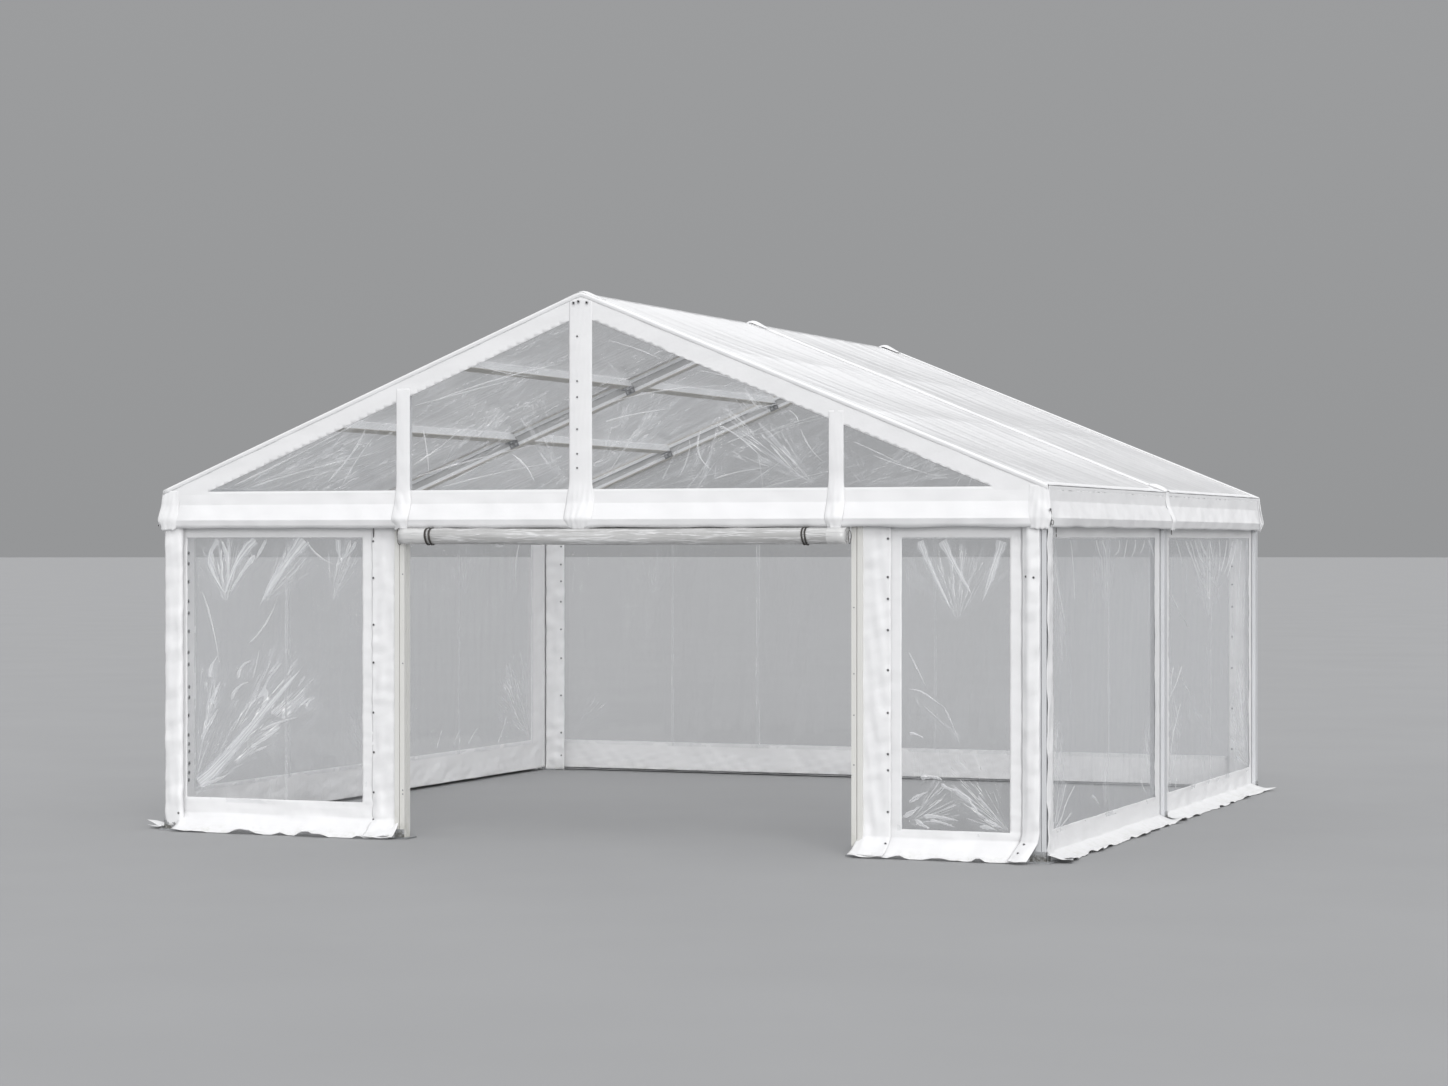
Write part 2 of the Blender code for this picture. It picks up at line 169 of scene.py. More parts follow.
scene.world = bpy.data.worlds.new("even_sky")
scene.world.use_nodes = True
sky = scene.world.node_tree
ways = Shade(sky.nodes.new("ShaderNodeTexCoord").outputs["Generated"])
height = ways.axis(2)
SKY_STOPS = [(0.0, (0.32, 0.324, 0.33)), (1.0, (1.02, 1.02, 1.04)),
             (0.172, (0.35, 0.354, 0.36)), (0.205, (1.00, 1.005, 1.02))]
shine = height.add("ValToRGB", {"stops": SKY_STOPS}, {0: height})
shine.feed(sky.nodes["Background"], {"Color": shine, "Strength": 0.95})


# Aluminium frame
# Extruded aluminium profiles, mill finished and a little dulled by the weather: six legs, six rafters,
# purlins, eave beams and gable rails. Their solids are the real shapes, so they stay and get their finish.

SIDES = (("left", -1), ("right", 1))
ENDS = (("front", -1), ("back", 1))
HALF_SPAN = 3.0
HALF_LENGTH = 3.0
LEG_X, LEG_Y = 2.95, 2.96
EAVE = 2.23
RIDGE = 3.45
PLATE_TOP = 0.0082
SLOPE = (RIDGE - EAVE) / HALF_SPAN
PITCH = atan2(RIDGE - EAVE, HALF_SPAN)


def rafter_top(x):
    return RIDGE - SLOPE * np.abs(x)


def bar_finish(name, scale, angles=(0, 0, 0), tint=(0.70, 0.71, 0.725), dark_bands=()):
    """Aluminium with die lines along the bar, dull patches, pale oxide, and a zinc foot plate.

    dark_bands gives bands of a darker colour between two depths under the roof's surface. On the rafters
    the grey band over the web is painted shade in its recess.
    """
    material, shader, place = new_finish(name)
    lines = place.drawn_out(scale, angles).noise(6, 2)
    patches = place.noise(2.6, 5, 0.6)
    oxide = place.noise(38, 6, 0.7).rise(0.62, 0.80)
    metal = patches.blend(tint, tuple(0.82 * part for part in tint))
    metal = (oxide * 0.45).blend(metal, (0.62, 0.63, 0.64))
    height = place.axis(2)
    depth = (RIDGE - SLOPE * abs(place.axis(0)) - height) * cos(PITCH)
    # Darker bands between two depths: on the rafters the grey one over the web is painted shade in its recess
    for start, end, grime_and_shade in dark_bands:
        metal = (depth.rise(start, start + 0.002) * (1 - depth.rise(end - 0.002, end))).blend(metal, grime_and_shade)
    foot = height.sum("LESS_THAN", height, PLATE_TOP)
    spangle = place.add("TexVoronoi", {}, {"Vector": place, "Scale": 85.0}, 1)
    zinc = spangle.add("SeparateColor", {}, {0: spangle}).blend((0.30, 0.31, 0.32), (0.42, 0.43, 0.44))
    place.feed(shader, {"Base Color": foot.blend(metal, zinc), "Metallic": 0.16,
                        "Roughness": 0.34 + 0.12 * patches + 0.08 * lines,
                        "Normal": (0.6 * lines + 0.4 * patches).bump(0.0006)})
    return material


ALONG_X, ALONG_Y, ALONG_Z = (0.6, 60, 60), (60, 0.6, 60), (60, 60, 0.6)
# A paler copy of the aluminium tint for the bars under the roof: painted light that makes up for the light
# the film holds back
PAINTED_LIGHT_TINT = (0.88, 0.89, 0.90)
upright_bars = bar_finish("aluminium_upright_bars", ALONG_Z)
edge_bars = bar_finish("aluminium_edge_bars", ALONG_Y)
finishes = {
    "leg_": upright_bars,
    "gable_upright_": upright_bars,
    "gable_rail_": bar_finish("aluminium_cross_bars", ALONG_X),
    "purlin_": bar_finish("aluminium_long_bars", ALONG_Y, tint=PAINTED_LIGHT_TINT,
                          dark_bands=[(0.049, 0.20, (0.42, 0.40, 0.35))]),
    "ridge_purlin_": edge_bars,
    "eave_beam_": edge_bars,
}
for name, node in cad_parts.items():
    for start, finish in finishes.items():
        if name.startswith(start):
            node.material_slots[0].material = finish
for side, hand in SIDES:
    # The grey band over the web is painted shade in the recess; the other two darken a band at the top and
    # one lower down
    finish = bar_finish(f"aluminium_{side}_rafters", ALONG_X, (0, -hand * PITCH, 0), PAINTED_LIGHT_TINT,
                        [(-0.01, 0.005, (0.60, 0.565, 0.50)), (0.0265, 0.0735, (0.44, 0.44, 0.44)),
                         (0.094, 0.12, (0.52, 0.49, 0.44))])
    for row in ("front", "middle", "back"):
        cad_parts[f"rafter_{row}_{side}"].material_slots[0].material = finish


# Door posts
# Aluminium profiles as well, but stove enamelled in a warm white. The enamel is worn through on a few
# knocks, and it has gone dull and grimy near the ground.

material, shader, place = new_finish("warm_white_enamel")
height = place.axis(2)
grime_and_shade = (1 - height.rise(0.0, 0.30)) * place.noise(11, 5, 0.65).rise(0.35, 0.75)
knocks = place.drawn_out((1, 1, 0.4)).noise(55, 4, 0.7).rise(0.69, 0.74)
enamel = place.noise(5, 3).blend((0.66, 0.655, 0.625), (0.71, 0.705, 0.68))
enamel = (0.5 * grime_and_shade).blend(enamel, (0.36, 0.35, 0.29))
foot = height.sum("LESS_THAN", height, PLATE_TOP)
place.feed(shader, {"Base Color": foot.blend(knocks.blend(enamel, (0.42, 0.43, 0.44)), (0.36, 0.37, 0.38)),
                    "Metallic": foot.sum("MAXIMUM", foot, knocks) * 0.8,
                    "Roughness": 0.34 + 0.25 * grime_and_shade,
                    "Normal": (1 - knocks + 0.15 * place.noise(240, 2)).bump(0.0004)})
for side, _ in SIDES:
    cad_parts[f"door_post_{side}"].material_slots[0].material = material


# Clear roof sheets
# Clear PVC film, one sheet to a bay, laid over the rafters and pulled tight along them. It sags a little
# between the purlins and carries long pale stretch marks that run down the slope, with painted glints
# along them.


def ease(value, low, high):
    part = np.clip((value - low) / (high - low), 0, 1)
    return part * part * (3 - 2 * part)


def swell(u, v, seed, length):
    """A smooth unevenness of about that wavelength, mostly between -1 and 1."""
    draw = random.Random(seed)
    total = np.zeros_like(u)
    for _ in range(7):
        turn, start = draw.uniform(0, pi), draw.uniform(0, 2 * pi)
        waves = 2 * pi / length * draw.uniform(0.6, 1.7)
        total += np.sin((u * cos(turn) + v * sin(turn)) * waves + start)
    return total / 4


def pulled_toward(u, v, fans):
    """Creases that run together in points, each given as its place, heading, spread, reach and strength.

    Gives how strongly each point is pulled, and its distance from the nearest such point and turn round it.
    """
    strongest, second = np.zeros_like(u), np.zeros_like(u)
    pull = np.stack([v, u], axis=1)
    for number, (u0, v0, heading, spread, reach, strength) in enumerate(fans):
        far = np.hypot(u - u0, v - v0)
        turn = (np.arctan2(v - v0, u - u0) - radians(heading) + 3 * pi) % (2 * pi) - pi
        mask = strength * np.exp(-(turn / radians(spread)) ** 2) * ease(far, 0.0, 0.05)
        mask *= 1 - ease(far, 0.6 * reach, reach)
        near = mask > strongest
        second = np.where(near, strongest, np.maximum(second, mask))
        strongest = np.where(near, mask, strongest)
        pull[near] = np.stack([far + 9 * number, turn + 5 * number], axis=1)[near]
    return strongest * np.clip((strongest - second) * 9, 0, 1), pull


def cut_along(bm, point, across):
    """Puts an edge wherever a plane through point, square to across, meets the mesh."""
    everything = bm.verts[:] + bm.edges[:] + bm.faces[:]
    bmesh.ops.bisect_plane(bm, geom=everything, dist=1e-5, plane_co=point, plane_no=across)


def flat_sheet(low, high, cell, lines=(), gone=None):
    """A flat sheet of cells between two corners, with edges along lines.

    It has no cells where gone(u, v) is true.
    """
    bm = bmesh.new()
    counts = [max(1, round((high[i] - low[i]) / cell[i])) for i in (0, 1)]
    bmesh.ops.create_grid(bm, x_segments=counts[0], y_segments=counts[1], size=0.5)
    bmesh.ops.scale(bm, verts=bm.verts, vec=(high[0] - low[0], high[1] - low[1], 1))
    bmesh.ops.translate(bm, verts=bm.verts, vec=((high[0] + low[0]) / 2, (high[1] + low[1]) / 2, 0))
    for point, across in lines:
        cut_along(bm, (*point, 0), (*across, 0))
    if gone:
        doomed = [face for face in bm.faces if gone(*face.calc_center_median().xy)]
        bmesh.ops.delete(bm, geom=doomed, context="FACES")
    return bm


SOFT_WIDTH = 35


def add_folds(bm, folds):
    """Narrow strips for folds pressed into film.

    Each fold is its width in millimetres, then in centimetres the points that its line bends toward. One
    wider than SOFT_WIDTH is soft: it starts at its full width and fades out along its line.
    """
    side, run, kind = (bm.verts.layers.float.new(key) for key in ("fold_side", "fold_run", "fold_kind"))
    for number, (width, *line) in enumerate(folds):
        soft = width > SOFT_WIDTH
        for vert in bmesh.ops.create_grid(bm, x_segments=16, y_segments=4, size=1)["verts"]:
            part, across = (vert.co.x + 1) / 2, vert.co.y
            points = np.array(line).reshape(-1, 2) / 100
            while len(points) > 1:
                way = points[-1] - points[0]
                points = points[:-1] * (1 - part) + points[1:] * part
            taper = (1 - part) ** 0.7 if soft else sin(pi * part ** 0.55) ** 0.7
            half = width / 1000 / 2 * (taper + 0.04)
            half *= 1 + 0.20 * sin(9 * part + number) + 0.14 * sin(27 * part + 2 * across + number)
            vert.co.xy = points[0] + np.array((-way[1], way[0])) / np.hypot(*way) * across * half
            vert[side], vert[run], vert[kind] = across, 1 + 3 * number + 0.4 * part, 3.0 + soft


def add_piece(name, bm, finishes):
    """A finished mesh becomes a piece that rides on the tent."""
    mesh = bpy.data.meshes.new(name)
    bm.to_mesh(mesh)
    bm.free()
    for finish in finishes:
        mesh.materials.append(finish)
    piece = bpy.data.objects.new(name, mesh)
    scene.collection.objects.link(piece)
    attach(piece, "root")
    return piece


def hang_sheet(name, bm, form, finish, thickness=0.0):
    """Takes each point of a flat sheet to its place. form gives the places, and on film how it is pulled."""
    flat = np.array([vert.co[:2] for vert in bm.verts])
    shape = form(flat[:, 0], flat[:, 1])
    places, *pulled = shape if isinstance(shape, tuple) else (shape,)
    if bm.verts.layers.float.get("fold_run"):
        side, run, kind = (np.array([vert[bm.verts.layers.float[key]] for vert in bm.verts])
                           for key in ("fold_side", "fold_run", "fold_kind"))
        ahead, above = (form(flat[:, 0] + a, flat[:, 1] + b)[0] - places for a, b in ((1e-3, 0), (0, 1e-3)))
        upward = np.cross(ahead, above)
        rise = np.where(run > 0, 0.0012 + 0.003 * (1 - side ** 2), 0)
        places = places + upward * (rise / np.linalg.norm(upward, axis=1))[:, None]
        pulled = [np.where(run > 0, kind, pulled[0]),
                  np.where(run[:, None] > 0, np.stack([run, side], axis=1), pulled[1])]
    cloth = bm.loops.layers.uv.new("cloth")
    if pulled:
        pull = bm.loops.layers.uv.new("pull")
        crease = bm.verts.layers.float.new("crease")
        for vert, value in zip(bm.verts, pulled[0]):
            vert[crease] = value
    bm.verts.index_update()
    for face in bm.faces:
        face.smooth = True
        for loop in face.loops:
            loop[cloth].uv = loop.vert.co.xy
            if pulled:
                loop[pull].uv = pulled[1][loop.vert.index]
    for vert, place in zip(bm.verts, places):
        vert.co = place
    bmesh.ops.recalc_face_normals(bm, faces=bm.faces)
    if thickness:
        bmesh.ops.solidify(bm, geom=bm.faces[:], thickness=thickness)
        bmesh.ops.recalc_face_normals(bm, faces=bm.faces)
    return add_piece(name, bm, [finish])


def film_finish(name, haze, sheen, milk, stretch, angles=(0, 0, 0), glow=0.30, hairy=0.13, bloom=0.3):
    """Clear PVC film, whose haze and bloom thicken at low angles.

    Creases show as crisp painted glints and rims, which stand in for reflections, and as paler ribbons along
    the pull. Folds are strips of their own with painted highlights along their edges, and hairy gives how
    strong the long fine marks are.
    """
    material, shader, place = new_finish(name)
    crease = place.add("Attribute", {"attribute_name": "crease"}, {}, 2)
    pull = place.add("UVMap", {"uv_map": "pull"})
    fine = pull.drawn_out((2.2, 21, 1)).noise(1.0, 3, 0.55)
    broad = pull.drawn_out((1.5, 7.5, 1)).noise(1.0, 2, 0.4)
    gaps = pull.drawn_out((7, 16, 1)).noise(1.0, 2).rise(0.44, 0.60)
    # Painted glints: thin bright broken lines along the creases that stand in for reflections of the sky
    painted_glints = (1 - abs(fine - 0.5) * 34).rise(0.0, 0.9) * gaps
    ribbon = broad.rise(0.535, 0.548) * (1 - broad.rise(0.60, 0.612))
    # Painted highlights along the rims of the ribbons
    painted_rims = (1 - abs(broad - 0.541) * 120).rise(0.0, 1.0) * gaps
    pulled = crease.sum("MINIMUM", crease, 1.0)
    unseamed = 1 - crease.rise(1.05, 1.4)
    crease_marks_and_glints = pulled * (1.2 * painted_glints + 1.0 * painted_rims + 0.46 * ribbon) * unseamed
    side = pull.axis(1)
    across = abs(side + 0.8 * pull.drawn_out((7, 0.3, 1)).noise(1.0, 2) - 0.4)
    # Painted highlights along both edges of a sharp fold
    edges = across.rise(0.50, 0.80) * (1 - across.rise(0.92, 1.0)) * gaps
    fibres = pull.drawn_out((4, 3.2, 1)).noise(1.0, 3, 0.6).rise(0.42, 0.60)
    sharp_fold_fill_and_highlights = 0.12 + 0.75 * edges + 0.22 * broad.rise(0.44, 0.56)
    smeared = (1 - abs(side).rise(0.45, 1.0)) * (0.12 + 0.34 * fibres)
    folds = crease.rise(2.4, 2.6) * sharp_fold_fill_and_highlights + crease.rise(3.4, 3.6) * (smeared - sharp_fold_fill_and_highlights)
    drawn = place.drawn_out(stretch, angles)
    hairs = (1 - abs(drawn.noise(3.1, 3, 0.55) - 0.5) * 60).rise(0.0, 0.9)
    hairs = hairs * drawn.noise(0.9, 2).rise(0.50, 0.64)
    scuffs = place.noise(16, 7, 0.72).rise(0.55, 0.78)
    cloudy = place.noise(1.3, 4, 0.6)
    marks_and_highlights = crease_marks_and_glints + folds + hairy * hairs + 0.05 * scuffs + 0.16 * crease.rise(1.3, 1.5)
    marks_and_highlights = marks_and_highlights.sum("MINIMUM", marks_and_highlights, 1.0)
    square = 1 - place.add("LayerWeight", {}, {"Blend": 0.5}, 1)
    streaks = pull.drawn_out((1.1, 17, 1)).noise(1.0, 4, 0.6).rise(0.42, 0.66) * pulled
    streaks = streaks * unseamed + drawn.noise(2.2, 4, 0.62).rise(0.50, 0.68) * hairy
    clear = (1 - haze * (0.5 + 0.8 * cloudy + 2.6 * streaks)) ** (1 / square.sum("MAXIMUM", square, 0.04))
    clear = clear * (1 - bloom * (1 - square) ** 8)
    relief = (marks_and_highlights + 0.3 * drawn.noise(2.0, 3)).bump(0.0012)
    # The marks and the painted highlights make the film whiter and less clear
    place.feed(shader, {"Base Color": marks_and_highlights.blend(milk, (0.97, 0.97, 0.97)),
                        "Alpha": 1 - clear * (1 - 0.85 * marks_and_highlights),
                        "Specular IOR Level": 0.0,
                        "Roughness": 0.10 + 0.22 * scuffs + 0.10 * cloudy,
                        "Normal": relief})
    through = place.add("BsdfTranslucent", {}, {"Color": (0.93, 0.94, 0.95)})
    both = through.add("MixShader", {}, {0: (1 - clear) * glow, 1: Shade(shader.outputs[0]), 2: through})
    gloss = place.add("BsdfGlossy", {}, {"Color": (1, 1, 1), "Roughness": 0.08 + 0.2 * scuffs,
                                         "Normal": relief})
    mirror = sheen * (0.07 + 0.85 * (1 - square) ** 5)
    glossy = both.add("MixShader", {}, {0: mirror, 1: both, 2: gloss})
    glossy.feed(material.node_tree.nodes["Material Output"], {"Surface": glossy})
    return material


FILM_MILK = (0.80, 0.82, 0.85)
ROOF_SLOPE = HALF_SPAN / cos(PITCH)
ROOF_END = 3.0086
ROOF_EDGE = ROOF_END / cos(PITCH)
ROOF_JOINT = 0.015
PURLINS_UP_SLOPE = (1.20, 2.20)
HELD_AT = (0, ROOF_SLOPE - PURLINS_UP_SLOPE[1], ROOF_SLOPE - PURLINS_UP_SLOPE[0], ROOF_SLOPE, ROOF_SLOPE + 1)
ROOF_ROWS = (("front", -ROOF_END, -ROOF_JOINT), ("back", ROOF_JOINT, ROOF_END))
SAG = 0.011


def roof_place(u, v, lift):
    """A point of the roof, u down the slope from the ridge and v along the tent."""
    side = np.sqrt(u * u + 0.006 ** 2)
    return np.stack([u * cos(PITCH) + np.sign(u) * lift * sin(PITCH), v,
                     RIDGE - side * sin(PITCH) + lift * cos(PITCH)], axis=1)


def roof_lift(u, v):
    bays = np.interp(np.abs(u), HELD_AT, range(5))
    between = np.sin(pi * (bays % 1)) * np.sin(pi * np.clip((np.abs(v) - 0.06) / 2.88, 0, 1))
    free = ease(np.minimum(np.abs(v), ROOF_END - np.abs(v)), 0.05, 0.25)
    ripples = free * (0.5 + 0.5 * np.clip(swell(0.3 * u, v, 31, 0.21), -1, 1))
    return 0.0045 - SAG * between + 0.0024 * ripples


def roof_form(u, v):
    pulled = 0.55 * ease(swell(0.5 * u, v, 33, 1.1), -0.5, 0.9)
    return roof_place(u, v, roof_lift(u, v)), pulled, np.stack([0.5 * u, v * 1.7], axis=1)


roof_film = film_finish("clear_roof_film", 0.085, 0.75, (0.93, 0.93, 0.935), (0.9, 9, 9), glow=0.15,
                        bloom=1.7)
for row, low, high in ROOF_ROWS:
    bm = flat_sheet((-ROOF_EDGE, low), (ROOF_EDGE, high), (0.05, 0.020), [((0, 0), (1, 0))])
    roof = hang_sheet(f"{row}_roof_film", bm, roof_form, roof_film)
    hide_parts(f"roof_sheet_{row}")
    high - low


# White edges of the roof
# A band of white coated fabric is welded round each roof sheet, and an edge rope in its rake hems makes the
# bright rounded line over the rafters. White caps cover the ridge where the rafters meet.


def white_finish(name, crumpled, size):
    """White coated fabric: hardly uneven in tone, a little dirty near the ground, and softly crumpled."""
    material, shader, place = new_finish(name)
    height = place.axis(2)
    broad = place.noise(1.7, 4, 0.6)
    fine = place.noise(24, 4, 0.6)
    splash = (1 - height.rise(0.0, 0.07)) * place.noise(21, 6, 0.72).rise(0.44, 0.72)
    cloth_white = broad.blend((0.77, 0.77, 0.775), (0.83, 0.83, 0.835))
    cloth_white = (0.3 * splash).blend(cloth_white, (0.36, 0.38, 0.25))
    dents = place.drawn_out((0.55, 0.55, 1.2), (0, 0.35, 0)).noise(size, 1.5, 0.35)
    place.feed(shader, {"Base Color": cloth_white, "Roughness": 0.36 + 0.14 * broad + 0.06 * fine,
                        "Normal": (crumpled * dents + 0.55 * fine + 0.3 * place.noise(90, 3)).bump(0.0012)})
    return material


white_cloth = white_finish("white_coated_fabric", 12, 5.5)
crumpled_cloth = white_finish("crumpled_white_fabric", 18, 7.0)

CLOTH = 0.0012


def hang_cloth(name, bm, form, finish=white_cloth):
    """A sheet of the coated fabric, with its real thickness."""
    return hang_sheet(name, bm, form, finish, CLOTH)


def declare_bands(piece, width, area, *rests_on):
    """A border is cut as straight bands, so its flat size is their width and their whole length. This works
    out that length and keeps nothing of it.
    """
    area / width


RAKE_BAND = 0.065
EAVE_BAND = 0.055
RAKE_HEM = 0.026


def roof_edge_form(u, v):
    over = np.clip(np.abs(v) - ROOF_END, 0, None)
    v = np.clip(v, -ROOF_END, ROOF_END)
    rope = np.exp(-((np.abs(v) - ROOF_END + 0.012) / 0.008) ** 2)
    rope += np.exp(-((np.abs(v) - ROOF_JOINT - 0.010) / 0.008) ** 2)
    places = roof_place(u, v, roof_lift(u, v) + 0.0022 + 0.006 * rope)
    stands_off = (0.0040 + 0.0010 * swell(u, 0 * u, 35, 0.4)) * ease(over, 0, 0.004)
    stands_off -= 0.0030 * ease(over, 0.01, RAKE_HEM)
    places[:, 1] += np.sign(v) * stands_off
    places[:, 2] -= over
    return places


inner = ROOF_EDGE - EAVE_BAND
for row, low, high in ROOF_ROWS:
    first, last = low + RAKE_BAND, high - RAKE_BAND
    lines = [((side * inner, 0), (1, 0)) for side in (-1, 1)]
    lines += [((0, first), (0, 1)), ((0, last), (0, 1)), ((0, 0), (1, 0))]
    hems = (low - RAKE_HEM * (row == "front"), high + RAKE_HEM * (row == "back"))
    bm = flat_sheet((-ROOF_EDGE, hems[0]), (ROOF_EDGE, hems[1]), (0.05, 0.0042), lines,
                    lambda u, v: abs(u) < inner and first < v < last)
    edging = hang_cloth(f"{row}_roof_edging", bm, roof_edge_form)
    area = 4 * ROOF_EDGE * RAKE_BAND + 2 * EAVE_BAND * (high - low)
    declare_bands(edging, RAKE_BAND, area, f"{row}_roof_film")

CAP_LENGTH, CAP_WIDTH = 0.26, 0.11
for row, middle, swollen in (("front", -2.95, 0.008), ("middle", 0.0, 0.018), ("back", 2.95, 0.018)):
    bm = flat_sheet((-CAP_LENGTH / 2, middle - CAP_WIDTH / 2), (CAP_LENGTH / 2, middle + CAP_WIDTH / 2),
                    (0.013, 0.011), [((0, 0), (1, 0))])

    def cap_form(u, v, middle=middle, swollen=swollen):
        along = np.clip(u / (CAP_LENGTH / 2), -1, 1)
        across = np.clip((v - middle) / (CAP_WIDTH / 2), -1, 1)
        return roof_place(u, v, 0.0120 + swollen * np.cos(pi / 2 * across) * np.cos(pi / 2 * along))

    cap = hang_sheet(f"{row}_ridge_cap", bm, cap_form, white_cloth, 0.002)


# Gable ends
# A white fabric border with clear film welded behind it closes each end. It carries the fascia and the
# valance, which stands out from the rail, flares over the upper fold and tucks back in at its hem.

WELD_LAP = 0.03
FASCIA_OUT = 0.0066
FOLD_HEIGHTS = (1.985, 2.037, 2.138, 2.205)
FOLD_OUT = (0.036, 0.052, 0.006, 0.0)
GABLE_BORDER = 0.14
GABLE_SILL = 2.225
GABLE_FILM_FOOT = 2.10
COVERS = {"left": (-1.24, 0.095), "centre": (0.0, 0.155), "right": (1.69, 0.095)}


def valance_out(z, from_corner=1.0):
    """How far the valance stands out at a height. The corner strips draw it in."""
    drawn_in = 0.40 + 0.60 * ease(from_corner, 0.05, 0.24)
    return np.interp(z, FOLD_HEIGHTS, FOLD_OUT) * drawn_in


def fold_lines():
    """Each fold is creased sharply, so it gets an edge close above it and one close below."""
    return [((0, z + side), (0, 1)) for z in FOLD_HEIGHTS[1:] for side in (-0.003, 0, 0.003)]


def near_hem(z):
    """1 at the foot of the valance, and 0 a little above it."""
    return 1 - ease(z, FOLD_HEIGHTS[0], FOLD_HEIGHTS[0] + 0.025)


def gable_point(sign, a, out, z):
    return np.stack([a, sign * (HALF_LENGTH + out), z], axis=1)


def in_gable_window(x, z, covers):
    under = z > GABLE_SILL and z < rafter_top(x) - GABLE_BORDER
    return under and all(abs(x - middle) > width / 2 for middle, width in covers)


# Points that creases run together in, as pulled_toward takes them, and folds, as add_folds takes them
GABLE_PULLS = [(-2.45, 2.22, 24, 16, 1.3, 0.5), (-1.05, 2.25, 38, 26, 0.9, 0.45),
               (-0.1, 2.24, 118, 22, 0.7, 0.5), (-0.1, 3.15, 215, 20, 0.8, 0.35),
               (0.12, 2.24, 55, 24, 0.9, 0.55), (1.55, 2.24, 140, 24, 0.9, 0.8),
               (0.95, 2.72, 250, 32, 0.55, 0.6), (0.12, 3.10, 310, 16, 0.8, 0.4),
               (1.85, 2.24, 22, 26, 0.8, 0.4)]
GABLE_FOLDS = [
    (12, -249, 226, -215, 239, -146, 271), (9.6, -236, 225, -199, 236, -132, 249),
    (14.4, -179, 228, -154, 251, -150, 266), (6, -211, 226, -191, 234, -134, 242),
    (7.2, -168, 226, -160, 242, -138, 265), (9, -118, 230, -79, 242, -17, 253),
    (8.4, -118, 238, -98, 249, -83, 261), (9, -110, 261, -107, 247, -106, 234),
    (10.2, -102, 279, -63, 293, -9, 302), (7.2, -118, 276, -83, 284, -32, 295),
    (5.4, -71, 301, -48, 294, -30, 293), (11.4, -48, 245, -36, 238, -32, 227),
    (7.2, -98, 224, -63, 233, -9, 241), (6, -91, 228, -63, 241, -48, 247),
    (10.2, 16, 264, 31, 269, 63, 272), (7.2, 18, 315, 39, 310, 55, 302), (7.2, 16, 275, 55, 287, 110, 285),
    (12, 81, 259, 73, 243, 89, 233), (7.2, 67, 231, 77, 250, 71, 255), (9.6, 91, 261, 102, 259, 122, 240),
    (7.2, 97, 250, 112, 255, 126, 262), (8.4, 112, 268, 122, 273, 136, 274),
    (7.2, 138, 270, 146, 265, 144, 260), (7.2, 126, 249, 134, 240, 144, 231),
    (7.2, 146, 258, 151, 245, 161, 238), (7.2, 89, 228, 102, 233, 126, 235), (6, 55, 228, 63, 243, 67, 250),
    (7.2, 180, 250, 192, 245, 211, 236), (6, 192, 242, 211, 234, 241, 227),
    (6, 79, 295, 102, 292, 120, 280)]
gable_film = film_finish("clear_gable_film", 0.055, 0.8, FILM_MILK, (1.0, 5, 14), (0, 0.42, 0), hairy=0.52)
GABLE_EDGE = HALF_SPAN + FASCIA_OUT
GABLE_FILM_EDGE = HALF_SPAN - WELD_LAP
roof_lines, head_lines = ([((0, apex), (SLOPE, 1)), ((0, apex), (-SLOPE, 1))]
                          for apex in (RIDGE, RIDGE - GABLE_BORDER))
for end, sign, covers, seed in (("front", -1, list(COVERS.values()), 1), ("back", 1, [], 0)):
    lines = roof_lines + head_lines + [((0, GABLE_SILL), (0, 1)), ((0, 0), (1, 0))] + fold_lines()
    lines += [((middle + side * width / 2, 0), (1, 0)) for middle, width in covers for side in (-1, 1)]
    bm = flat_sheet((-GABLE_EDGE, FOLD_HEIGHTS[0]), (GABLE_EDGE, RIDGE), (0.030, 0.024), lines,
                    lambda x, z: z > rafter_top(x) or in_gable_window(x, z, covers))

    def gable_border_form(x, z, sign=sign, seed=seed):
        loose = 0.0013 + 0.0032 * (1 - ease(z, 2.10, 2.24))
        slack = swell(x, 0.4 * z, seed, 0.33) + 0.5 * swell(x, z, 8, 0.11)
        flare = valance_out(z, GABLE_EDGE - np.abs(x))
        out = FASCIA_OUT + flare + loose * np.clip(slack, -1, 1.2)
        hem = 0.004 * near_hem(z) * swell(x, z, 12, 0.5)
        corner = ease(np.abs(x), GABLE_EDGE - 0.05, GABLE_EDGE)
        return gable_point(sign, x + np.sign(x) * corner * flare, out, z + hem)

    border = hang_cloth(f"{end}_gable_border", bm, gable_border_form)
    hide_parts(f"gable_border_{end}")
    declare_bands(border, GABLE_BORDER, sum(face.area for face in border.data.polygons) / 2,
                  f"gable_rail_{end}", f"rafter_{end}_left", f"rafter_{end}_right")

    bm = flat_sheet((-GABLE_FILM_EDGE, GABLE_FILM_FOOT), (GABLE_FILM_EDGE, RIDGE), (0.03, 0.02), roof_lines,
                    lambda x, z: z > rafter_top(x))
    add_folds(bm, GABLE_FOLDS)

    def film_form(x, z, sign=sign):
        pulled, pull = pulled_toward(x, z, GABLE_PULLS)
        free = np.clip((z - GABLE_SILL) * 5, 0, 1) * np.clip((rafter_top(x) - 0.12 - z) * 5, 0, 1)
        out = 0.0022 - 0.0015 * free - 0.004 * free * np.clip(swell(x, z, 17, 0.5) + 0.6 * pulled, 0, 2)
        return gable_point(sign, x, out, z), 0.7 * pulled, pull

    film = hang_sheet(f"{end}_gable_film", bm, film_form, gable_film)
    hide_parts(f"gable_window_{end}")


# Covers over the gable uprights and the corners
# Sleeves of the same white fabric are welded on over each upright, as strips that end in a fuller boot where
# they go over the valance. The corners and the joints of the side valances have such strips too.

COVER_FOOT = 1.978


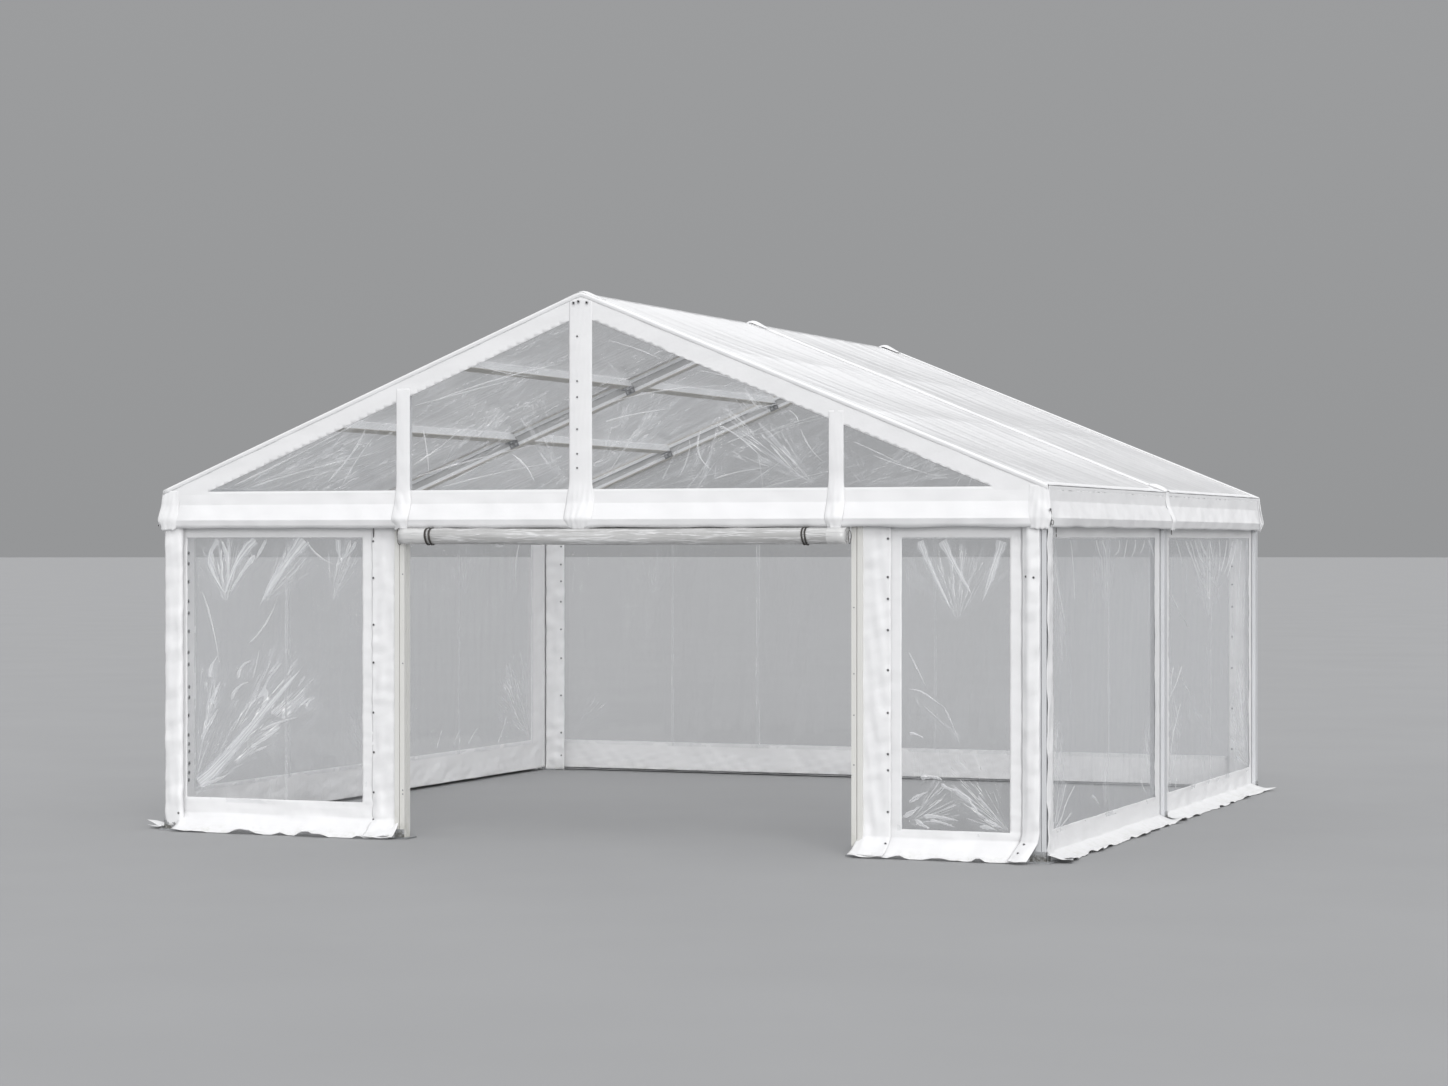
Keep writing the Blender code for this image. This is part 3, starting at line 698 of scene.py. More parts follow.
def cover_form(place, base, width, top, seed, fullness=1.0, from_corner=1.0):
    """A strip with a crown. u runs across it from -1 to 1, and v up it."""
    def form(u, v):
        boot = ease(v, COVER_FOOT - 0.02, 2.06) * (1 - ease(v, 2.13, 2.29))
        hem = 1 - ease(v, COVER_FOOT, 2.04)
        spread = width / 2 * (1 + 0.26 * boot - 0.10 * hem)
        crown = 1 - u * u
        pleats = np.clip(swell(u * width, 0.5 * v, seed, 0.085), -1, 1)
        flush = ease(v, top - 0.16, top)
        out = base + 0.0018 - 0.0012 * flush + valance_out(v, from_corner) * (0.85 + 0.15 * boot)
        out += crown * (0.004 * (1 - flush) + fullness * (0.013 * boot + 0.006 * hem))
        out += (0.0006 + 0.0036 * (boot + hem)) * pleats * (0.3 + 0.7 * crown)
        drop = 0.007 * hem * swell(u * width, v, seed + 1, 0.08) - 0.006 * hem * crown
        return place(u * spread, out, v + drop)

    return flat_sheet((-1, COVER_FOOT), (1, top), (0.1, 0.011)), form


for side, (middle, width) in COVERS.items():
    top = float(rafter_top(abs(middle) + width / 2)) - 0.052
    if side == "centre":
        top = float(rafter_top(width / 2)) - 0.004
    bm, form = cover_form(lambda a, out, z, middle=middle: gable_point(-1, middle + a, out, z),
                          FASCIA_OUT, width, top, 40 + len(side))
    strip = hang_cloth(f"{side}_upright_cover", bm, form)

CORNER_STRIP = 0.105
for end, sign in ENDS:
    for side, hand in SIDES:
        middle = GABLE_EDGE - CORNER_STRIP / 2 + 0.002
        top = float(rafter_top(middle + CORNER_STRIP / 2)) + 0.006

        def corner_place(a, out, z, sign=sign, hand=hand, middle=middle):
            x = hand * (middle + a + valance_out(z, 0) * ease(a, -0.02, 0.05))
            return gable_point(sign, x, out, z)

        bm, form = cover_form(corner_place, FASCIA_OUT, CORNER_STRIP, top, 50 + sign + 2 * hand, 0.5, 0.0)
        strip = hang_cloth(f"{end}_{side}_corner_cover", bm, form)


# Side valances
# A strip of the same white fabric hangs under each eave, one to a bay, with the same folds as the gable's.
# The two strips of a side meet under a narrow flap at the middle leg, and stop short of the corner strips.

VALANCE_TOP = float(rafter_top(ROOF_END)) + 0.003
VALANCE_FIRST, VALANCE_LAST = 0.012, 2.972
KNOB_LENGTH, KNOB_HALF_WIDTH = 0.13, 0.05


def side_place(hand, a, out, z):
    return np.stack([hand * (HALF_SPAN + out), a, z], axis=1)


for side, hand in SIDES:
    for row, sign in ENDS:
        bm = flat_sheet((VALANCE_FIRST, FOLD_HEIGHTS[0]), (VALANCE_LAST, VALANCE_TOP), (0.03, 0.012),
                        fold_lines())

        def valance_form(u, z, hand=hand, sign=sign):
            below = 1 - ease(z, 2.10, 2.22)
            slack = swell(u, 0.4 * z, 5 + hand + 2 * sign, 0.40) + 0.5 * swell(u, z, 9 + hand, 0.12)
            flare = valance_out(z, HALF_LENGTH - u)
            out = FASCIA_OUT + flare + (0.001 + 0.0035 * below) * np.clip(slack, -1, 1.2)
            hem = 0.004 * near_hem(z) * swell(u, z, 15 + sign, 0.6)
            return side_place(hand, sign * u, out, z + hem)

        valance = hang_cloth(f"{row}_{side}_valance", bm, valance_form)
        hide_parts(f"valance_{row}_{side}")
    bm, form = cover_form(lambda a, out, z, hand=hand: side_place(hand, a, out, z),
                          FASCIA_OUT + 0.004, 0.085, VALANCE_TOP + 0.004, 60 + hand, 1.1)
    flap = hang_cloth(f"middle_{side}_valance_flap", bm, form)

    bm = flat_sheet((ROOF_EDGE - KNOB_LENGTH, -KNOB_HALF_WIDTH), (ROOF_EDGE + 0.004, KNOB_HALF_WIDTH),
                    (0.012, 0.010))

    def knob_form(u, v, hand=hand):
        half = KNOB_LENGTH / 2
        along = np.clip((u - ROOF_EDGE + half) / half, -1, 1)
        crown = np.sqrt(np.clip(1 - (v / KNOB_HALF_WIDTH) ** 2, 0, 1)) * np.sqrt(1 - 0.9 * along ** 2)
        return roof_place(hand * u, v, 0.010 + 0.022 * crown)

    knob = hang_cloth(f"middle_{side}_eave_cap", bm, knob_form)


# Walls
# Each wall is clear film in a border of white coated fabric, whose edge ropes run in the grooves of the
# posts. Its foot is a wide white hem that turns out and lies on the ground, wavy and lifted in places.

HEM_TOPS = {("y", -1): 0.12, ("y", 1): 0.025, ("x", -1): 0.025, ("x", 1): 0.05}
HEM_BEND = 0.35
HEM_OUT = 0.128
HEM_END = 0.205
GROUND = 0.004
WALL_LINE = 2.97
WINDOW_HEAD = 1.925
GROOVE = 0.006
BEAD = 0.012


def wall_spot(axis, sign, a, out, z):
    across = sign * (WALL_LINE + out)
    return np.stack([a, across, z] if axis == "y" else [across, a, z], axis=1)


def hem_shape(a, v, seed, top, first, last, lifts=(0.016, 0.016, 0.05, 0.05), lifted=()):
    """How far out and how high the cloth lies, where v is the height, or below top the run down the hem.

    lifts gives how high the two ends of the hem stand and how far they spread, and lifted the middle, length
    and height of each place between them where its edge stands off the ground.
    """
    run = np.clip((top - v) / HEM_END, 0, 1.4)
    turn = np.clip(run, 0, 1) * pi / 2
    uneven = np.clip(swell(a, 0 * a, seed, 0.50) + 0.7 * swell(a, 0 * a, seed + 1, 0.17), -1, 1.4)
    start, end = 1 - ease(a - first, 0.0, 0.17), 1 - ease(last - a, 0.0, 0.17)
    ends = lifts[0] * start + lifts[1] * end
    bent = HEM_BEND * (1 - np.cos(turn)) + (1 - HEM_BEND) * np.clip(run, 0, 1)
    out = HEM_OUT * bent * (1 + 0.10 * uneven + lifts[2] * start + lifts[3] * end)
    out = out + np.clip(run - 1, 0, 1) * 0.15
    fallen = HEM_BEND * np.sin(turn) + (1 - HEM_BEND) * np.clip(run, 0, 1)
    arches = sum((height * np.exp(-((a - middle) / (length / 2)) ** 4) for middle, length, height in lifted),
                 0 * a)
    lift = ease(run, 0.55, 1.1) * (0.015 * np.clip(uneven, 0, 2) + ends) + ease(run, 0.8, 1.1) * arches
    z = np.where(v > top, v, GROUND + (top - GROUND) * (1 - fallen) + lift)
    return out, z


# The axis that the wall is built along and the side it stands on, its ends and head, the widths of its
# borders and its sill, how far the ends of the hem are lifted and spread, the seams of its film, and the
# points where the film's creases run together
walls = {
    "front_left": ("y", -1, -2.9, -1.305, 2.049, (0.05, 0.247, 0.22), (0.016, 0.022, 0.05, 0.05),
                   (-2.11,),
                   [(-2.56, 1.49, 90, 34, 0.50, 0.9), (-2.28, 1.50, 52, 20, 0.55, 0.8),
                    (-1.78, 1.50, 68, 26, 0.50, 0.6), (-2.80, 0.22, 47, 13, 1.35, 1.0),
                    (-2.80, 0.30, 80, 9, 0.95, 0.7), (-2.42, 0.55, 38, 20, 0.42, 0.9)]),
    "front_right": ("y", -1, 1.855, 2.9, 2.049, (0.24, 0.13, 0.17), (0.020, 0.012, 0.05, 0.03),
                    (),
                    [(2.45, 1.42, 90, 42, 0.56, 0.55), (2.13, 0.20, 33, 26, 0.50, 0.8),
                     (2.77, 0.17, 138, 24, 0.62, 0.9), (2.35, 0.30, 75, 30, 0.30, 0.5),
                     (2.13, 1.00, -38, 12, 0.50, 0.35)]),
    "back": ("y", 1, -2.9, 2.9, 2.049, (0.08, 0.08, 0.25), (0.016, 0.016, 0.04, 0.04),
             (-1.84, -1.09, 0.42, 1.84),
             [(-2.0, 1.4, 90, 40, 0.55, 0.22), (0.2, 1.4, 90, 40, 0.55, 0.22), (2.1, 1.4, 90, 40, 0.55, 0.22),
              (-2.8, 0.25, 50, 20, 0.6, 0.3), (2.8, 0.25, 130, 20, 0.6, 0.3)]),
    "left_front": ("x", -1, -2.92, -0.04, 2.129, (0.26, 0.15, 0.26), (0.050, 0.010, 0.65, 0.03),
                   (-1.40,),
                   [(-1.3, 1.5, 90, 50, 0.5, 0.4), (-2.65, 0.27, 52, 22, 0.6, 0.6),
                    (-0.2, 0.27, 125, 22, 0.6, 0.5)]),
    "left_back": ("x", -1, 0.04, 2.92, 2.129, (0.17, 0.28, 0.26), (0.010, 0.040, 0.03, 0.30),
                  (1.28,),
                  [(1.4, 1.45, 90, 50, 0.5, 0.35), (2.62, 0.25, 128, 26, 0.9, 0.9),
                   (0.25, 0.27, 60, 22, 0.6, 0.5)]),
    "right_front": ("x", 1, -2.92, -0.04, 2.129, (0.185, 0.146, 0.18), (0.022, 0.012, 0.12, 0.03),
                    (-1.41,),
                    [(-1.45, 1.45, 92, 40, 0.52, 0.55), (-2.75, 0.15, 78, 13, 0.75, 1.0),
                     (-2.72, 0.17, 48, 18, 0.50, 0.6), (-0.20, 0.20, 118, 20, 0.60, 0.6),
                     (-1.50, 0.20, 90, 22, 0.35, 0.6), (-2.70, 1.95, -80, 14, 1.00, 0.4)]),
    "right_back": ("x", 1, 0.04, 2.92, 2.129, (0.177, 0.09, 0.18), (0.020, 0.022, 0.05, 0.50),
                   (1.54,),
                   [(1.45, 1.34, 90, 44, 0.66, 1.0), (0.22, 1.05, -62, 16, 0.70, 0.7),
                    (2.83, 0.17, 118, 24, 0.95, 0.7), (0.25, 0.20, 60, 20, 0.50, 0.5),
                    (1.50, 0.90, 90, 10, 0.50, 0.25)]),
}
# The places where a hem's edge stands off the ground, as hem_shape takes them, and folds, as for the gables
LIFTED_PLACES = {
    "front_left": ((-2.351, 0.15, 0.028), (-2.089, 0.06, 0.018), (-1.896, 0.09, 0.018),
                   (-1.512, 0.06, 0.016)),
    "front_right": ((2.10, 0.10, 0.012), (2.36, 0.14, 0.014), (2.62, 0.05, 0.010)),
    "right_front": ((-2.30, 0.10, 0.018), (-1.95, 0.12, 0.010), (-1.35, 0.16, 0.014),
                    (-0.75, 0.16, 0.010), (-0.4, 0.1, 0.014)),
    "right_back": ((0.45, 0.14, 0.014), (1.25, 0.14, 0.014), (1.62, 0.10, 0.012), (2.10, 0.22, 0.014)),
}
WALL_FOLDS = {
    "front_left": [
        (90, -276, 31, -253, 48, -230, 77, -201, 106), (24, -276, 29, -266, 32, -255, 37),
        (21, -238, 55, -228, 61, -216, 68), (14, -234, 53, -224, 57), (16, -231, 66, -219, 72, -202, 76),
        (18, -222, 77, -218, 82, -211, 85), (14, -220, 77, -213, 81, -206, 88),
        (8, -277, 38, -274, 48, -269, 58), (26, -275, 59, -269, 70, -261, 81),
        (43, -267, 84, -264, 92, -260, 98), (39, -268, 101, -269, 107, -262, 115),
        (10, -274, 157, -266, 139, -261, 111), (20, -252, 86, -249, 96, -239, 98),
        (20, -247, 100, -246, 110, -237, 112), (10, -236, 101, -233, 110, -231, 119),
        (12, -239, 123, -225, 134, -218, 152), (47, -262, 191, -273, 179, -269, 171, -256, 155),
        (24, -260, 191, -252, 178, -256, 156), (67, -234, 191, -246, 182, -253, 169, -257, 155),
        (28, -234, 181, -242, 173, -253, 157), (98, -198, 191, -208, 180, -219, 169, -230, 149),
        (24, -226, 191, -230, 184, -234, 178), (12, -196, 190, -191, 180, -176, 175),
        (50, -173, 191, -174, 184, -170, 176), (19, -164, 191, -166, 182, -173, 175),
        (19, -160, 190, -164, 182, -169, 179)],
    "front_right": [
        (52, 221, 190, 225, 178, 240, 150), (55, 235, 190, 242, 176, 253, 159),
        (65, 272, 190, 267, 173, 260, 154), (9, 214, 123, 217, 118, 225, 102),
        (10, 213, 101, 222, 102, 229, 95, 236, 91), (7, 236, 91, 240, 84, 246, 69),
        (14, 214, 75, 220, 74, 223, 72), (24, 221, 48, 230, 50, 235, 47), (20, 234, 45, 239, 41, 246, 41),
        (17, 244, 41, 251, 37, 254, 35), (24, 214, 33, 219, 37, 226, 40), (24, 210, 24, 216, 27, 221, 31),
        (24, 218, 23, 223, 19, 227, 18), (24, 223, 25, 230, 26, 245, 23), (15, 227, 23, 235, 22, 243, 19),
        (15, 251, 36, 256, 31, 258, 26), (24, 261, 24, 267, 22, 273, 19), (20, 258, 20, 264, 20, 269, 18)],
    "right_front": [
        (24, -260, 38, -264, 31, -270, 21), (14, -249, 26, -261, 20, -269, 17),
        (14, -230, 24, -245, 20, -261, 17), (10, -241, 43, -257, 31, -265, 21),
        (14, -269, 177, -261, 159, -245, 134), (14, -234, 191, -225, 176, -225, 155),
        (22, -172, 191, -168, 184, -159, 180), (20, -159, 191, -146, 185, -149, 181),
        (22, -115, 191, -109, 184, -124, 181), (20, -94, 191, -97, 184, -103, 179),
        (22, -72, 191, -69, 184, -83, 180), (18, -48, 191, -46, 186, -60, 182),
        (36, -36, 191, -20, 184, -21, 177), (20, -55, 33, -51, 26, -41, 22),
        (18, -182, 31, -172, 29, -165, 24), (10, -221, 40, -245, 30, -261, 18)],
    "right_back": [
        (18, 44, 191, 51, 181, 65, 172), (34, 72, 191, 84, 181, 101, 174, 140, 153),
        (26, 87, 191, 99, 176, 138, 161), (30, 101, 191, 114, 179, 154, 166),
        (26, 118, 191, 128, 183, 159, 172), (28, 149, 191, 154, 181, 169, 172),
        (30, 179, 191, 185, 183, 179, 169), (32, 206, 191, 203, 181, 185, 168),
        (32, 227, 190, 220, 178, 195, 166), (24, 241, 191, 233, 176, 206, 164),
        (36, 257, 190, 244, 159, 244, 127), (26, 149, 164, 164, 161, 171, 157),
        (14, 32, 153, 51, 142, 79, 130), (20, 40, 103, 31, 93, 32, 85), (18, 62, 103, 46, 87, 27, 83),
        (14, 60, 96, 75, 87, 84, 84), (14, 59, 77, 37, 59, 29, 42), (22, 46, 26, 40, 20, 44, 19),
        (18, 216, 46, 249, 30, 281, 19), (16, 233, 31, 257, 23, 281, 19)],
    "left_back": [
        (20, 90, 30, 93, 36, 98, 43), (16, 120, 29, 122, 36, 130, 42), (16, 145, 30, 150, 35, 162, 42),
        (20, 200, 28, 210, 36, 216, 48), (30, 240, 188, 230, 172, 234, 150),
        (22, 190, 191, 198, 184, 212, 187)],
}


def wall_border_form(axis, sign, first, last, window, top, lifts, lifted, seed):
    low, high, sill = window

    def form(a, v):
        out, z = hem_shape(a, v, seed, top, first, last, lifts, lifted)
        side = np.minimum(a - first, last - a)
        free = ease(side, 0.0, 0.05)
        slack = swell(a, v, seed + 3, 0.45) + 0.6 * swell(a, 1.6 * v, seed + 4, 0.13)
        foot = 1 - ease(v, top, top + 0.3)
        out = out + free * (0.0032 + 0.0050 * foot) * np.clip(slack, -1, 1.2)
        gap = np.maximum(np.maximum(low - a, a - high), np.maximum(sill - v, v - WINDOW_HEAD))
        out += 0.0011 * (1 - ease(gap, BEAD - 0.004, BEAD))
        inset = (GROOVE + 0.001) * (1 - ease(v, top, top + 0.04))
        a = np.clip(a, first - GROOVE + inset, last + GROOVE - inset)
        return wall_spot(axis, sign, a, out, z)

    return form


def wall_film_form(axis, sign, low, high, sill, seams, pulls, seed):
    def form(a, z):
        pulled, pull = pulled_toward(a, z, pulls)
        edge = np.minimum(np.minimum(a - low, high - a), np.minimum(z - sill, WINDOW_HEAD - z))
        free = ease(edge, 0.0, 0.10)
        folds = swell(0.25 * pull[:, 0], pull[:, 1], seed + 7, 0.30)
        out = -0.0036 - 0.005 * free * pulled * folds + 0.006 * free * swell(a, 0.35 * z, seed + 5, 0.8)
        out += 0.0018 * free * swell(a, 0.2 * z, seed + 6, 0.19)
        for seam in seams:
            pulled = np.where(np.abs(a - seam) < 0.006, 2.0, pulled)
        return wall_spot(axis, sign, a, out, z), pulled, pull

    return form


cloth_surfaces = {}
wall_film = film_finish("clear_wall_film", 0.055, 0.8, FILM_MILK, (8, 8, 1.0))
for number, (name, wall) in enumerate(walls.items()):
    axis, sign, first, last, head, borders, lifts, seams, pulls = wall
    low, high, sill = first + borders[0], last - borders[1], borders[2]
    hem_top = HEM_TOPS[axis, sign]
    foot = hem_top - HEM_END - 0.012
    lines = [((place, 0), (1, 0)) for place in (low, high, low - BEAD, high + BEAD)]
    lines += [((0, place), (0, 1)) for place in (sill, WINDOW_HEAD, sill - BEAD, WINDOW_HEAD + BEAD, hem_top)]
    bm = flat_sheet((first - GROOVE, foot), (last + GROOVE, head), (0.028, 0.020), lines,
                    lambda a, v: low < a < high and sill < v < WINDOW_HEAD)
    seed = 70 + 7 * number
    form = wall_border_form(axis, sign, first, last, (low, high, sill), hem_top, lifts,
                            LIFTED_PLACES.get(name, ()), seed)
    border = hang_cloth(f"{name}_wall_border", bm, form)
    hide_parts(f"wall_border_{name}")
    cloth_surfaces[f"{name}_border"] = (axis, sign, form)
    area = (last - first) * (head - foot) - (high - low) * (WINDOW_HEAD - sill)
    row, _, side = name.partition("_")
    declare_bands(border, 0.20, area, f"gable_rail_{row}" if axis == "y" else f"eave_beam_{side}_{row}")

    corner, opposite = (low - WELD_LAP, sill - WELD_LAP), (high + WELD_LAP, WINDOW_HEAD + WELD_LAP)
    lines = [((place + side, 0), (1, 0)) for place in seams for side in (-0.005, 0.005)]
    bm = flat_sheet(corner, opposite, (0.02, 0.025), lines)
    add_folds(bm, WALL_FOLDS.get(name, []))
    form = wall_film_form(axis, sign, low, high, sill, seams, pulls, seed)
    film = hang_sheet(f"{name}_wall_film", bm, form, wall_film)
    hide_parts(f"wall_window_{name}")
    opposite[0] - corner[0]
    opposite[1] - corner[1]


# Flaps beside the door, and covers over the legs
# Beside the door a second white strip is buttoned over the border with eyelets, and closes the gap to the
# post. Narrower strips cover the joints between the legs and their walls. Most of their feet turn out.

BESIDE = 0.012


def strip_form(axis, sign, first, last, base, crown, lean, foot, seed):
    middle, half = (first + last) / 2, (last - first) / 2
    top = HEM_TOPS[axis, sign]

    def form(a, v):
        out, z = hem_shape(a, v, seed, top, first - 0.05, last + 0.05)
        z = z + 0.003 * (1 - ease(v, top - 0.06, top))
        if foot is not None:
            out, z = 0 * a, v
        bow = crown * (1 - ((a - middle) / half) ** 2)
        over_leg = ease(np.abs(a), 2.850, 2.896)
        stands_out = base - (base - BESIDE) * (1 - over_leg) if base > BESIDE else base
        near_ground = 1 - ease(v, top, top + 0.35)
        pleats = swell(a, 0.25 * v, seed + 2, 0.10) + 0.9 * swell(0.6 * a, 1.1 * v, seed + 3, 0.16)
        slack = (0.0042 + 0.0040 * near_ground) * np.clip(pleats, -1, 1.2)
        low = 1 - ease(v, top - 0.17, top + 0.07)
        along = middle + (a - middle) * (1 + 0.10 * low) + lean * low
        return wall_spot(axis, sign, along, stands_out + out + bow + slack, z)

    return form


# The axis and side as for a wall, the two edges and the head, how far the strip stands out and how much it
# bows, how far its foot leans over, the height it is cut at if it has no hem, and what carries it
strips = {
    "left_door_flap": ("y", -1, -1.480, -1.284, 2.045, 0.006, 0.0035, 0, None, "gable_rail_front"),
    "right_door_flap": ("y", -1, 1.828, 2.030, 2.045, 0.010, 0.0050, -0.02, None, "gable_rail_front"),
    "front_left_leg_cover": ("y", -1, -2.998, -2.868, 2.10, 0.0345, 0.0060, 0.012, 0.030, "leg_front_left"),
    "front_right_leg_cover": ("y", -1, 2.846, 2.962, 2.10, 0.0345, 0.0075, -0.05, None, "leg_front_right"),
    "back_left_leg_cover": ("y", 1, -2.972, -2.868, 2.10, 0.0345, 0.0060, 0, None, "leg_back_left"),
    "back_right_leg_cover": ("y", 1, 2.868, 2.972, 2.10, 0.0345, 0.0060, 0, None, "leg_back_right"),
    "left_side_leg_cover": ("x", -1, -2.990, -2.865, 2.10, 0.0345, 0.0050, 0.03, None, "leg_front_left"),
    "right_side_leg_cover": ("x", 1, -2.990, -2.865, 2.10, 0.0345, 0.0050, 0.03, None, "leg_front_right"),
    "left_inner_cover": ("y", 1, -2.962, -2.795, 2.045, -0.0560, -0.0060, 0, GROUND, "leg_back_left"),
    "right_inner_cover": ("y", 1, 2.795, 2.962, 2.045, -0.0560, -0.0060, 0, GROUND, "leg_back_right"),
}
for number, (name, values) in enumerate(strips.items()):
    axis, sign, first, last, head, base, crown, lean, cut_at, carrier = values
    top = HEM_TOPS[axis, sign]
    foot = top - HEM_END - 0.004 if cut_at is None else cut_at
    bm = flat_sheet((first, foot), (last, head), (0.011, 0.018), [((0, top), (0, 1))])
    form = strip_form(axis, sign, first, last, base, crown, lean, cut_at, 150 + 5 * number)
    strip = hang_cloth(name, bm, form, crumpled_cloth)
    last - first
    head - foot
    cloth_surfaces[name] = (axis, sign, form)


# Rolled-up door
# The clear door is rolled up on itself from its foot and hangs under the valance from the gable rail. The
# many turns make it milky grey, and lengthwise folds run along it. Its ends show the open spiral.

ROLL_Y, ROLL_Z, ROLL_RADIUS = -3.0528, 1.9335, 0.0522
ROLL_STEP = 0.0034
ROLL_TURNS = 8.8
ROLL_FIRST, ROLL_LAST = -1.232, 1.775
TAIL = 0.155


def roll_form(a, v):
    """v runs down the tail, then round the roll from its outer turn to its core, in parts of a turn."""
    turn = np.clip(v, 0, None)
    radius = ROLL_RADIUS - ROLL_STEP * turn - 0.009 * ease(turn, 2.4, 3.3)
    angle = -2 * pi * turn
    folds = swell(0.35 * a, 0.05 * np.cos(angle), 201, 0.06)
    folds += 0.7 * swell(0.3 * a, 0.05 * np.sin(angle), 202, 0.05)
    radius = radius * (1 + 0.022 * folds + 0.016 * swell(a, 0 * a, 203, 0.7))
    middle = np.clip((a - ROLL_FIRST) / (ROLL_LAST - ROLL_FIRST), 0, 1)
    y = ROLL_Y + radius * np.cos(angle)
    z = ROLL_Z + radius * np.sin(angle) - 0.005 * np.sin(pi * middle) ** 2
    up = np.clip(-v, 0, None)
    y = np.where(v < 0, ROLL_Y + ROLL_RADIUS + 0.0004 + 0.001 * swell(a, up, 205, 0.3), y)
    return np.stack([a, y, z + up * TAIL], axis=1)


material, shader, place = new_finish("rolled_film")
cloth = place.add("UVMap", {"uv_map": "cloth"})
turned = cloth.drawn_out((0.9, 5.5, 1)).noise(1.4, 4, 0.6)
lines = (1 - abs(turned - 0.5) * 24).rise(0.0, 0.9)
bands = cloth.drawn_out((0.5, 3.2, 1)).noise(1.1, 3).rise(0.42, 0.58)
cloudy = place.noise(6, 4, 0.6)
tone = 0.30 * bands + 0.34 * cloudy + 0.62 * lines
along = place.axis(0)
white_end = 1 - along.rise(ROLL_FIRST + 0.190, ROLL_FIRST + 0.193)
white_end = white_end + along.rise(ROLL_LAST - 0.120, ROLL_LAST - 0.117)
milky = tone.blend((0.40, 0.397, 0.39), (0.80, 0.80, 0.80))
place.feed(shader, {"Base Color": white_end.blend(milky, (0.62, 0.62, 0.615)),
                    "Alpha": white_end.sum("MAXIMUM", white_end, 0.86 + 0.12 * cloudy),
                    "Roughness": 0.14 + 0.20 * cloudy,
                    "Normal": (bands + lines + 0.4 * cloudy).bump(0.0016)})
bm = flat_sheet((ROLL_FIRST, -1.0), (ROLL_LAST, ROLL_TURNS), (0.05, 1 / 16), [((0, 0), (0, 1))])
door = hang_sheet("rolled_up_door", bm, roll_form, material, 0.002)
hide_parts("rolled_door")


# Straps and loops of the roll
# Two pairs of dark elastic straps hold the roll up. Each strap goes round it and up to the rail behind the
# valance. Loops of the same elastic hang at both ends of the roll, and short ones lace the wall heads.

LACING_X = 2.990


def strap_form(a, v):
    """v runs up the rail from -1 to 0, then once round the roll, and a across the strap's width."""
    angle = -2 * pi * np.clip(v, 0, 1) - 0.10
    radius = 0.0560 + 0.0012 * swell(a, 0.02 * np.sin(angle), 301, 0.02)
    y = ROLL_Y + radius * np.cos(angle)
    z = ROLL_Z - 0.003 + radius * np.sin(angle)
    up = np.clip(-v, 0, None)
    return np.stack([a + 0.004 * np.sin(2 * angle), y + 0.0005 * up, z + 0.13 * up], axis=1)


elastic, shader, place = new_finish("dark_elastic")
braid = place.noise(420, 3, 0.6)
worn = (0.5 * braid + 0.5 * place.noise(60, 3)).rise(0.35, 0.65)
place.feed(shader, {"Base Color": worn.blend((0.020, 0.018, 0.017), (0.085, 0.078, 0.072)),
                    "Roughness": 0.65 + 0.2 * braid, "Normal": braid.bump(0.0006)})
for side, width, strap_places in (("left", 0.014, (-1.036, -1.008)), ("right", 0.011, (1.504, 1.524))):
    for number, middle in enumerate(strap_places):
        bm = flat_sheet((middle - width / 2, -1.0), (middle + width / 2, 1.0), (width / 3, 1 / 28))
        strap = hang_sheet(f"{side}_roll_strap_{number + 1}", bm, strap_form, elastic, 0.002)


def closed_loops(name, loops, thickness):
    """Elastic loops: closed rings of round cord, each squeezed to the width and height that is wanted."""
    bm = bmesh.new()
    for point, width, height, turn in loops:
        upright = Matrix.Translation((0.5, 0, 0)) @ Matrix.Rotation(pi / 2, 4, "X")
        made = bmesh.ops.create_circle(bm, segments=8, radius=thickness / 2, matrix=upright)
        edges = list({edge for vert in made["verts"] for edge in vert.link_edges})
        bmesh.ops.spin(bm, geom=made["verts"] + edges, cent=(0, 0, 0), axis=(0, 0, 1), angle=2 * pi,
                       steps=22, use_merge=True)
        verts = [vert for vert in bm.verts if not vert.tag]
        for vert in verts:
            far = Vector((vert.co.x, vert.co.y, 0))
            core = far.normalized() * 0.5
            off = Vector((0, 0, vert.co.z)) + (far - core)
            wavy = 1 + 0.10 * sin(3 * atan2(core.y, core.x) + 40 * width)
            vert.co = Vector((core.x * width * wavy, core.y * height, 0)) + off
        place = Matrix.Translation(point) @ Matrix.Rotation(turn, 4, "Z") @ Matrix.Rotation(pi / 2, 4, "X")
        bmesh.ops.transform(bm, matrix=place, verts=verts)
        for vert in verts:
            vert.tag = True
    bmesh.ops.recalc_face_normals(bm, faces=bm.faces)
    return add_piece(name, bm, [elastic])


closed_loops("roll_end_loops", [((-1.232, -3.070, 1.925), 0.030, 0.095, 0.5),
                                ((-1.246, -3.060, 1.945), 0.022, 0.070, 0.9),
                                ((1.800, -3.075, 1.925), 0.018, 0.080, 0.2)], 0.0045)
closed_loops("lacing_loops", [((LACING_X, -2.745, 1.965), 0.008, 0.030, pi / 2),
                              ((LACING_X, -2.742, 1.935), 0.008, 0.018, pi / 2),
                              ((LACING_X, 0.205, 1.965), 0.009, 0.036, pi / 2),
                              ((-1.464, -2.985, 1.955), 0.006, 0.060, 0),
                              ((3.022, -2.978, 2.060), 0.010, 0.060, 1.0),
                              ((3.030, -2.972, 2.010), 0.016, 0.030, 0.8)], 0.0036)
